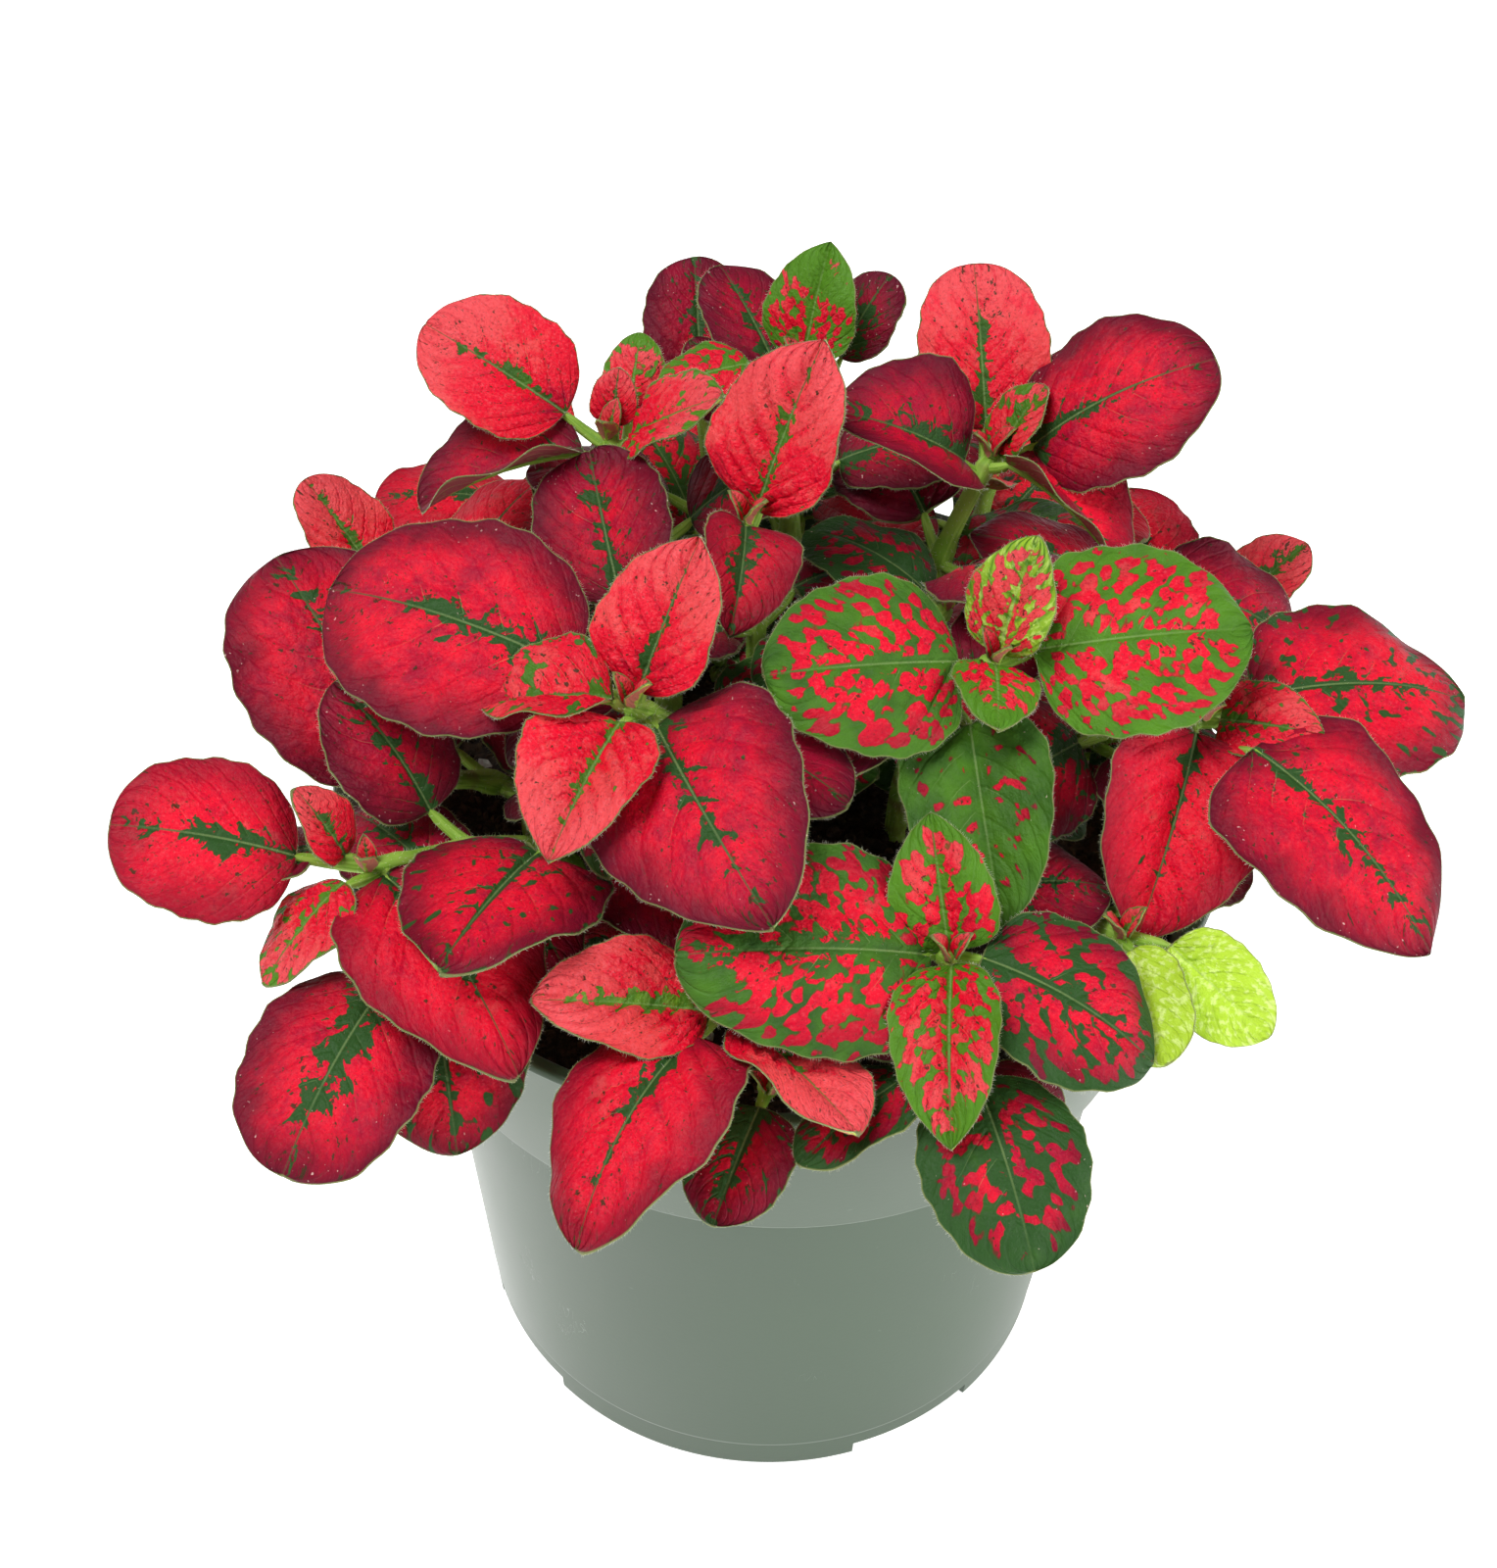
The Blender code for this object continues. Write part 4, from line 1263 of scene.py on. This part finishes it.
# %% Under face and skin
def leaf_under():
    """Pale under face, where the upper face's red shows faintly through."""
    finish = Finish("leaf_under", Specular_IOR_Level=0.2)
    signs = Signs(finish)
    green = finish.mix(UNDER_YOUNG, UNDER_OLD, signs.age.step(-0.2, 0.8))
    rose = finish.mix(UNDER_PINK, UNDER_ROSE, signs.age.step(0.0, 0.8))
    colour = finish.mix(green, rose, signs.share * 0.88)
    colour = finish.mix(colour, UNDER_VEIN, signs.vein.fall(0.01, 0.06) * 0.5)
    pores = finish.noise(signs.place, 2.2, 3.0, 0.6)
    normal = finish.bump(pores * 0.5 - signs.vein.step(0.0, 0.14) * 0.8, 0.25 * MM, 0.7)
    return finish.drive(Base_Color=colour, Roughness=0.6 + pores * 0.15, Normal=normal)


def stem_skin():
    """Downy green skin of the stems and stalks, with a few long streaks."""
    finish = Finish("stem_skin", Specular_IOR_Level=0.25)
    place = finish.attribute("grain")
    run, turn, seed = finish.split(place)
    streak = finish.noise(finish.vector(run * 0.12, turn * 2.2, seed), 1.3, 3.0, 0.6)
    patch = finish.noise(place, 0.25, 2.0)
    colour = finish.mix(SKIN_DARK, SKIN_LIGHT, streak.step(0.35, 0.65))
    colour = finish.mix(colour, SKIN_BLUSH, (patch - 0.56).step(0.0, 0.2) * 0.55)
    normal = finish.bump(streak, 0.1 * MM, 0.6)
    return finish.drive(Base_Color=colour, Roughness=0.5 + streak * 0.2, Normal=normal)


leaf_finishes += [leaf_under(), stem_skin()]
print("leaf finishes:", [material.name for material in leaf_finishes])

# %% [markdown]
# ## Dressing each stem
#
# Every leafy stem becomes one mesh, which stands for its plain solid. Two tiny folded buds
# sit at each growing tip, across the youngest pair. The rims of the leaves and the skin of
# the stems are kept in two helper shapes, because the hairs of the next step grow on them.

# %% Build the leafy stems
BUD_LENGTH = 4.2
BUD_WIDTH = 2.6
BUD_STALK = 0.6
BUD_RISE = 64
BUD_LENGTH_SPREAD = 0.8
BUD_HEADING_SPREAD = 15
RIM_STEPS = 26
rims = Shape()
skins = Shape()


def bud_rows(leaves, draw):
    """Two young leaves at the growing tip, a quarter turn from the pair below."""
    rows = []
    for side in (0, 180):
        size = BUD_LENGTH + draw.uniform(-BUD_LENGTH_SPREAD, BUD_LENGTH_SPREAD)
        turn = leaves[0].row.heading + PAIR_TURN + side
        turn += draw.uniform(-BUD_HEADING_SPREAD, BUD_HEADING_SPREAD)
        width = size * BUD_WIDTH / BUD_LENGTH
        rows.append(Row(0, BUD_STALK, turn, BUD_RISE, size, width, 0, "folded", "bud", "pointed"))
    return rows


def dress_stem(name, line, leaves, draw):
    """One leafy stem as a single fine mesh."""
    shape = Shape()
    fine_leaves = [FineLeaf(leaf, draw) for leaf in leaves]
    fine_stem(shape, line, leaves, draw.random())
    for fine in fine_leaves:
        fine_stalk(shape, fine)
    skins.add(shape.points, shape.faces)
    for fine in fine_leaves:
        fine_blade(shape, fine)
        points, outward = fine.rim(RIM_STEPS)
        count = len(points)
        rims.add(points, [(k, (k + 1) % count) for k in range(count)], outward=outward)
    for row in bud_rows(leaves, draw):
        fine_blade(shape, FineLeaf(Leaf(line, row), draw))
    piece = shape.build(name + "_leaves")
    for material in leaf_finishes:
        piece.data.materials.append(material)
    piece.data.polygons.foreach_set("material_index", shape.slots)
    piece.data.shade_smooth()
    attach(piece, "root")
    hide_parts(name)
    return piece


leaf_draw = random.Random(SEED + 1)
leafy_stems = []
for stem_name, leaves in stem_leaves.items():
    leafy_stems.append(dress_stem(stem_name, stem_lines[stem_name], leaves, leaf_draw))
print(len(leafy_stems), "leafy stems with", sum(len(o.data.polygons) for o in leafy_stems), "faces")

# %% [markdown]
# ## Recipes for what repeats
#
# Hairs and crumbs are copies of one small shape, thousands of times. Geometry Nodes place
# them: a helper mesh goes in, and the tree spreads points over it, puts a shape on each
# point, makes the copies real and gives them their material. The sizes are named inputs of
# the tree. The result is kept as a plain mesh and the helper is thrown away.

# %% A class for such trees
class Recipe(Tree):
    """A Geometry Nodes tree with named sizes, which turns a helper mesh into a finished piece."""

    def __init__(self, name, **sizes):
        super().__init__(bpy.data.node_groups.new(name, "GeometryNodeTree"))
        face = self.tree.interface
        face.new_socket("Geometry", in_out="INPUT", socket_type="NodeSocketGeometry")
        self.sizes = {}
        for label, value in sizes.items():
            kind = "NodeSocketInt" if isinstance(value, int) else "NodeSocketFloat"
            self.sizes[face.new_socket(label, in_out="INPUT", socket_type=kind).identifier] = value
        face.new_socket("Geometry", in_out="OUTPUT", socket_type="NodeSocketGeometry")
        self.entry = self.tree.nodes.new("NodeGroupInput")

    def given(self, label):
        """One of the tree's inputs."""
        return Wire(self, self.entry.outputs[label])

    def draw(self, low, high, shift):
        """A seeded random number for each point, or a random vector where low and high are vectors."""
        many = isinstance(low, tuple)
        first = 0 if many else 2
        values = {first: low, first + 1: high, "Seed": self.given("Seed") + shift}
        settings = {"data_type": "FLOAT_VECTOR" if many else "FLOAT"}
        return self.node("FunctionNodeRandomValue", settings, values, output=0 if many else 1)

    def scatter(self, selection):
        """Random points on the chosen faces, and the way each of them faces."""
        values = {"Mesh": self.given("Geometry"), "Selection": selection}
        values |= {"Density": self.given("Density"), "Seed": self.given("Seed")}
        points = self.node("GeometryNodeDistributePointsOnFaces", {"distribute_method": "RANDOM"}, values)
        return points, Wire(self, points.socket.node.outputs["Normal"])

    def hair(self):
        """A three-sided spike that stands on its base."""
        values = {"Vertices": 3, "Radius Top": 0.0, "Radius Bottom": self.given("Thickness")}
        return self.node("GeometryNodeMeshCone", values=values | {"Depth": self.given("Length")})

    def aim(self, way, spread, shift):
        """A turn that stands a shape up along a vector, with some disorder."""
        lean = self.draw((-spread,) * 3, (spread,) * 3, shift)
        whole = self.node("ShaderNodeVectorMath", {"operation": "ADD"}, [way, lean])
        return self.node("FunctionNodeAlignRotationToVector", {"axis": "Z"}, {"Vector": whole})

    def place(self, points, shape, turn, size, material):
        """Puts a shape on each point, makes the copies real and finishes the tree."""
        values = {"Points": points, "Instance": shape, "Rotation": turn, "Scale": size}
        copies = self.node("GeometryNodeInstanceOnPoints", values=values)
        real = self.node("GeometryNodeRealizeInstances", values=[copies])
        painted = self.node("GeometryNodeSetMaterial", values={"Geometry": real, "Material": material})
        self.plug(self.tree.nodes.new("NodeGroupOutput").inputs[0], painted)

    def cook(self, name, helper, slot):
        """Runs the tree on a helper object, keeps the result as a plain piece and drops the helper."""
        modifier = helper.modifiers.new(name, "NODES")
        modifier.node_group = self.tree
        for identifier, value in self.sizes.items():
            modifier[identifier] = value
        graph = bpy.context.evaluated_depsgraph_get()
        mesh = bpy.data.meshes.new_from_object(helper.evaluated_get(graph))
        mesh.name = name
        bpy.data.objects.remove(helper)
        piece = add_object(name, mesh)
        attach(piece, "root")
        print(name, "has", len(mesh.polygons), "faces")


print("recipes ready")

# %% [markdown]
# ## Hairs on the rims and stems
#
# Each rim carries a fringe of fine pale hairs, which catches the light as a bright line, and
# the stems and stalks are downy. Hair curves would be lost when the model is exported, so
# each hair is a real three-sided spike. The rims go in as closed lines, each point with its
# own direction outwards, and the skins go in as faces.

# %% Hairs
HAIR_GREEN, HAIR_PALE = (0.55, 0.62, 0.38), (0.80, 0.78, 0.66)


def hair_finish():
    """Nearly white hair, a little greener on some."""
    finish = Finish("pale_hair", Roughness=0.5, Specular_IOR_Level=0.4)
    share = finish.noise(finish.place(), 180.0, 1.0).step(0.35, 0.65)
    return finish.drive(Base_Color=finish.mix(HAIR_GREEN, HAIR_PALE, share))


def rim_hairs(material):
    recipe = Recipe("rim_hair_tree", Spacing=0.20 * MM, Length=0.40 * MM, Thickness=0.015 * MM, Seed=3)
    lines = recipe.node("GeometryNodeMeshToCurve", values=[recipe.given("Geometry")])
    values = {"Curve": lines, "Length": recipe.given("Spacing")}
    points = recipe.node("GeometryNodeResampleCurve", {"mode": "LENGTH"}, values)
    settings = {"data_type": "FLOAT_VECTOR"}
    outward = recipe.node("GeometryNodeInputNamedAttribute", settings, {"Name": "outward"})
    turn = recipe.aim(outward, 0.6, 1)
    recipe.place(points, recipe.hair(), turn, recipe.draw(0.45, 1.25, 2), material)
    recipe.cook("rim_hairs", rims.build("rims"), "green_leaf")


def stem_hairs(material):
    recipe = Recipe("stem_hair_tree", Density=1.8e6, Length=0.60 * MM, Thickness=0.020 * MM, Seed=5)
    height = recipe.split(recipe.node("GeometryNodeInputPosition"))[2]
    points, normal = recipe.scatter(height.math("GREATER_THAN", SOIL_TOP))
    turn = recipe.aim(normal, 0.45, 1)
    recipe.place(points, recipe.hair(), turn, recipe.draw(0.5, 1.2, 2), material)
    recipe.cook("stem_hairs", skins.build("skins"), "green_leaf")


pale_hair = hair_finish()
rim_hairs(pale_hair)
stem_hairs(pale_hair)

# %% [markdown]
# ## The soil
#
# Potting mix is dark peat with crumbs of bark and a few white lumps of perlite. The solid
# soil stays and gets a dark, rough finish. A thin lumpy crust lies on it and closes the plain
# holes round the stems. Crumbs and perlite are scattered on the crust.

# %% Crust
CRUST_RINGS = 26
CRUST_SIDES = 96
CRUST_LUMP = 0.7 * MM
CRUST_DEPTH = 2.5 * MM
CRUST_GAP = 0.5 * MM
COARSE_LUMP = 2.3 * MM
FINE_LUMP = 0.9 * MM
FINE_SHARE = 0.6


def soil_finish(name, dark, light, scale):
    """Dark grains with lighter fibres between them."""
    finish = Finish(name, Specular_IOR_Level=0.25)
    place = finish.place()
    grain = finish.noise(place, scale, 5.0, 0.7)
    fibre = finish.noise(place, scale * 0.3, 2.0, 0.6, 1.5)
    colour = finish.mix(dark, light, (grain * 0.6 + fibre * 0.4).step(0.40, 0.68))
    normal = finish.bump(grain, 0.6 * MM, 0.9)
    return finish.drive(Base_Color=colour, Roughness=0.75 + grain * 0.2, Normal=normal)


def crust_point(x, y):
    """A point of the lumpy top, a little over the solid soil."""
    rough = noise.noise(Vector((x, y, 0)) / COARSE_LUMP)
    rough += FINE_SHARE * noise.noise(Vector((x, y, 9 * MM)) / FINE_LUMP)
    return x, y, soil_height(x, y) + CRUST_GAP + CRUST_LUMP * rough


def make_crust(material):
    """A thin closed disc whose top is lumpy."""
    low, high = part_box("soil")
    radius = (high[0] - low[0]) / 2 - CRUST_GAP
    points, rows = [], []
    for ring in range(CRUST_RINGS + 1):
        spread = radius * ring / CRUST_RINGS
        angles = [math.tau * side / CRUST_SIDES for side in range(CRUST_SIDES if ring else 1)]
        rows.append(range(len(points), len(points) + len(angles)))
        points += [crust_point(spread * math.cos(a), spread * math.sin(a)) for a in angles]
    faces = []
    for inner, outer in zip(rows, rows[1:]):
        faces += bridge(inner, outer)
    count = len(points)
    points += [(x, y, SOIL_TOP - CRUST_DEPTH) for x, y, _ in points]
    faces += turned_over(faces, count) + bridge(rows[-1], [k + count for k in rows[-1]])
    crust = mesh_object("soil_crust", points, faces)
    crust.data.materials.append(material)
    crust.data.shade_smooth()
    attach(crust, "root")
    return crust


peat = soil_finish("peat", (0.012, 0.009, 0.007), (0.070, 0.045, 0.028), 900.0)
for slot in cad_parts["soil"].material_slots:
    slot.material = peat
soil_crust = make_crust(peat)
print("the crust has", len(soil_crust.data.polygons), "faces")

# %% Crumbs and perlite
CRUMB_DENT = 0.3
CRUMB_LEAST = (0.4, 0.4, 0.4)
CRUMB_MOST = (1.6, 1.3, 1.2)
FACES_UP = 0.3


def scatter_crumbs(name, material, density, size, seed):
    """Rough little lumps on the crust, each turned and stretched in its own way."""
    recipe = Recipe(name + "_tree", Density=density, Size=size, Seed=seed)
    upward = recipe.split(recipe.node("GeometryNodeInputNormal"))[2]
    points, _ = recipe.scatter(upward.math("GREATER_THAN", FACES_UP))
    values = {"Radius": recipe.given("Size"), "Subdivisions": 1}
    ball = recipe.node("GeometryNodeMeshIcoSphere", values=values)
    values = {0: recipe.draw((-CRUMB_DENT,) * 3, (CRUMB_DENT,) * 3, 4), "Scale": recipe.given("Size")}
    dent = recipe.node("ShaderNodeVectorMath", {"operation": "SCALE"}, values)
    lump = recipe.node("GeometryNodeSetPosition", values={"Geometry": ball, "Offset": dent})
    turn = recipe.draw((0.0,) * 3, (math.tau,) * 3, 5)
    recipe.place(points, lump, turn, recipe.draw(CRUMB_LEAST, CRUMB_MOST, 6), material)
    recipe.cook(name, add_object("crumb_helper", soil_crust.data.copy()), "potting_soil")


bark = soil_finish("bark_crumb", (0.020, 0.013, 0.009), (0.110, 0.068, 0.038), 600.0)
perlite = soil_finish("perlite", (0.42, 0.40, 0.36), (0.78, 0.77, 0.73), 500.0)
scatter_crumbs("bark_crumbs", bark, 3.0e5, 0.75 * MM, 7)
scatter_crumbs("perlite_lumps", perlite, 1.3e4, 0.95 * MM, 8)

# %% [markdown]
# ## The pot
#
# The pot is one thin moulded shell, sage green and satin. It could stay the plain solid, but
# its 36 sides and hard edges would show. A finer one is turned from the same profile, with
# every edge rounded as a mould rounds it, and the notches of its foot and the drain holes are
# cut with a Boolean. A faint ring runs round the wall where the mould parts.

# %% Profile of the pot
POT_HEIGHT = 93.5 * MM
BASE_RADIUS = 39.0 * MM
WALL_TOP_RADIUS = 44.1 * MM
BAND_FOOT = 64.0 * MM
BAND_STEP = 3.1 * MM
BAND_STEP_RISE = 1.4 * MM
BAND_TOP_RADIUS = 53.2 * MM
POT_WALL = 1.4 * MM
LIP_HEIGHT = 1.6 * MM
FOOT_HEIGHT = 2.6 * MM
FOOT_WIDTH = 1.9 * MM
FLOOR_THICKNESS = 1.8 * MM
PAD_RADIUS = 14.0 * MM
EDGE_RADIUS = 0.45 * MM
EDGE_SHARE = 0.34
EDGE_STEPS = 4
EDGE_SUPPORT = 0.25 * MM
SUPPORT_SHARE = 0.4
PROFILE_STEP = 6.0 * MM
MOULD_RING = 5.5 * MM
MOULD_RING_SIZE = 0.12 * MM


def rounded(corners):
    """A profile whose corners are small arcs and whose long runs are divided."""
    line = [Vector(corner) for corner in corners]
    made = [line[0]]
    for a, b, c in zip(line, line[1:], line[2:]):
        # Each rounding and its support stay within half of a run, so that two never overlap
        reach = min(EDGE_RADIUS, (a - b).length * EDGE_SHARE, (c - b).length * EDGE_SHARE)
        support = min(EDGE_SUPPORT, reach * SUPPORT_SHARE)
        start = b + (a - b).normalized() * reach
        end = b + (c - b).normalized() * reach
        made.append(start + (start - b).normalized() * support)
        for k in range(EDGE_STEPS + 1):
            t = k / EDGE_STEPS
            made.append(start * (1 - t) ** 2 + b * 2 * t * (1 - t) + end * t * t)
        made.append(end + (end - b).normalized() * support)
    made.append(line[-1])
    divided = [made[0]]
    for a, b in zip(made, made[1:]):
        pieces = max(1, math.ceil((b - a).length / PROFILE_STEP))
        divided += [a.lerp(b, k / pieces) for k in range(1, pieces + 1)]
    return divided


def pot_profile():
    """The section of the shell, from the middle of its underside round to the middle of its floor."""
    floor_top = FOOT_HEIGHT + FLOOR_THICKNESS
    band_low = BAND_FOOT + BAND_STEP_RISE
    lip_low = POT_HEIGHT - LIP_HEIGHT
    foot_inner = BASE_RADIUS - FOOT_WIDTH
    slope = (WALL_TOP_RADIUS - BASE_RADIUS) / BAND_FOOT
    flare = (BAND_TOP_RADIUS - WALL_TOP_RADIUS - BAND_STEP) / (lip_low - band_low)
    ring = BASE_RADIUS + MOULD_RING * slope
    outside = [
        (0, 0),
        (PAD_RADIUS, 0),
        (PAD_RADIUS + FOOT_HEIGHT * 0.4, FOOT_HEIGHT),
        (foot_inner, FOOT_HEIGHT),
        (foot_inner, 0),
        (BASE_RADIUS, 0),
        (ring - MOULD_RING_SIZE, MOULD_RING - 3 * MOULD_RING_SIZE),
        (ring + MOULD_RING_SIZE * 0.2, MOULD_RING),
        (WALL_TOP_RADIUS, BAND_FOOT),
        (WALL_TOP_RADIUS + BAND_STEP, band_low),
        (BAND_TOP_RADIUS, lip_low),
        (RIM_RADIUS, lip_low + LIP_HEIGHT * 0.4),
        (RIM_RADIUS - LIP_HEIGHT * 0.25, POT_HEIGHT),
    ]
    inside = [
        (BAND_TOP_RADIUS - POT_WALL * 0.8, POT_HEIGHT),
        (BAND_TOP_RADIUS - POT_WALL, lip_low),
        (WALL_TOP_RADIUS + BAND_STEP - POT_WALL + flare * POT_WALL, band_low + POT_WALL),
        (WALL_TOP_RADIUS - POT_WALL, BAND_FOOT + POT_WALL),
        (BASE_RADIUS + floor_top * slope - POT_WALL, floor_top),
        (0, floor_top),
    ]
    return rounded(outside + inside)


print("the pot's profile has", len(pot_profile()), "points")

# %% Notches and drain holes
NOTCHES = 4
NOTCH_FIRST = -58.0
NOTCH_ANGLE = 27.0
NOTCH_MARGIN = 0.5 * MM
NOTCH_OUTER = 2 * MM
# The notch ends just under the recess of the foot, because a Boolean is safer where no faces coincide
NOTCH_TOP = FOOT_HEIGHT - 0.1 * MM
DRAIN_RADIUS = 3.6 * MM
DRAIN_RING = 31.5 * MM
DRAIN_SIDES = 24


def turned(name, profile, sides):
    """A closed solid turned round Z from (radius, height) points, out of the axis and back to it."""
    points, rows = [], []
    for radius, height in profile:
        angles = [math.tau * k / sides for k in range(sides if radius else 1)]
        rows.append(range(len(points), len(points) + len(angles)))
        points += [(radius * math.cos(a), radius * math.sin(a), height) for a in angles]
    faces = []
    for low, high in zip(rows, rows[1:]):
        faces += turned_over(bridge(low, high))
    return mesh_object(name, points, faces)


def notch_cutter(angle):
    """A wedge that takes one gap out of the foot ring."""
    half = math.radians(NOTCH_ANGLE) / 2
    inner = BASE_RADIUS - FOOT_WIDTH - NOTCH_MARGIN
    outer = BASE_RADIUS + NOTCH_OUTER
    points = []
    for height in (-MM, NOTCH_TOP):
        for radius, turn in ((inner, -half), (outer, -half), (outer, half), (inner, half)):
            points.append((radius * math.cos(angle + turn), radius * math.sin(angle + turn), height))
    faces = [(3, 2, 1, 0), (4, 5, 6, 7)] + turned_over(bridge(range(4), range(4, 8)))
    return mesh_object("notch", points, faces)


def drain_cutter(angle):
    """A round hole through the floor beside a notch."""
    top = FOOT_HEIGHT + FLOOR_THICKNESS + MM
    cutter = turned("drain", [(0, 0), (DRAIN_RADIUS, 0), (DRAIN_RADIUS, top), (0, top)], DRAIN_SIDES)
    shift = (DRAIN_RING * math.cos(angle), DRAIN_RING * math.sin(angle), MM)
    cutter.data.transform(Matrix.Translation(shift))
    return cutter


def cut(target, cutters):
    """Takes the cutters out of the target and removes them."""
    tools = bpy.data.collections.new("cutters")
    bpy.context.scene.collection.children.link(tools)
    for cutter in cutters:
        bpy.context.scene.collection.objects.unlink(cutter)
        tools.objects.link(cutter)
    modifier = target.modifiers.new("cut", "BOOLEAN")
    modifier.operand_type = "COLLECTION"
    modifier.collection = tools
    graph = bpy.context.evaluated_depsgraph_get()
    target.data = bpy.data.meshes.new_from_object(target.evaluated_get(graph))
    target.modifiers.remove(modifier)
    for cutter in cutters:
        bpy.data.objects.remove(cutter)
    bpy.data.collections.remove(tools)


print(NOTCHES, "notches and as many drain holes")

# %% The pot's shell
POT_SIDES = 160
SHARP_ANGLE = math.radians(35)
SAGE_DARK, SAGE_LIGHT, SCRATCH_PALE = (0.024, 0.056, 0.023), (0.031, 0.066, 0.030), (0.42, 0.47, 0.43)


def pot_finish():
    """Satin plastic with soft clouding, a few fine scratches and dry splashes."""
    finish = Finish("sage_plastic", Specular_IOR_Level=0.5, Sheen_Weight=0.36, Sheen_Roughness=0.30)
    place = finish.place()
    cloud = finish.noise(place, 22.0, 3.0)
    grain = finish.noise(place, 1400.0, 2.0)
    stretched = finish.node("ShaderNodeVectorMath", {"operation": "MULTIPLY"}, [place, (1.0, 1.0, 0.12)])
    scratch = (finish.noise(stretched, 420.0, 1.0, 0.5, 2.0) - 0.5).math("ABSOLUTE")
    scratch = scratch.fall(0.0, 0.006) * (finish.noise(place, 60.0, 2.0) - 0.66).step(0.0, 0.05)
    splash = (finish.noise(place, 260.0, 2.0) - 0.745).step(0.0, 0.03)
    colour = finish.mix(SAGE_DARK, SAGE_LIGHT, cloud.step(0.3, 0.7))
    colour = finish.mix(colour, SCRATCH_PALE, scratch * 0.3 + splash * 0.2)
    normal = finish.bump(grain * 0.3 - scratch, 0.04 * MM, 0.5)
    return finish.drive(Base_Color=colour, Roughness=0.36 + cloud * 0.16 + splash * 0.3, Normal=normal)


def make_pot():
    pot = turned("nursery_pot", pot_profile(), POT_SIDES)
    cutters = []
    for k in range(NOTCHES):
        angle = math.radians(NOTCH_FIRST + k * 360 / NOTCHES)
        cutters += [notch_cutter(angle), drain_cutter(angle)]
    cut(pot, cutters)
    pot.data.materials.clear()
    pot.data.materials.append(pot_finish())
    pot.data.shade_smooth()
    pot.data.set_sharp_from_angle(angle=SHARP_ANGLE)
    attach(pot, "root")
    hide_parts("pot")
    return pot


print("the pot has", len(make_pot().data.polygons), "faces")
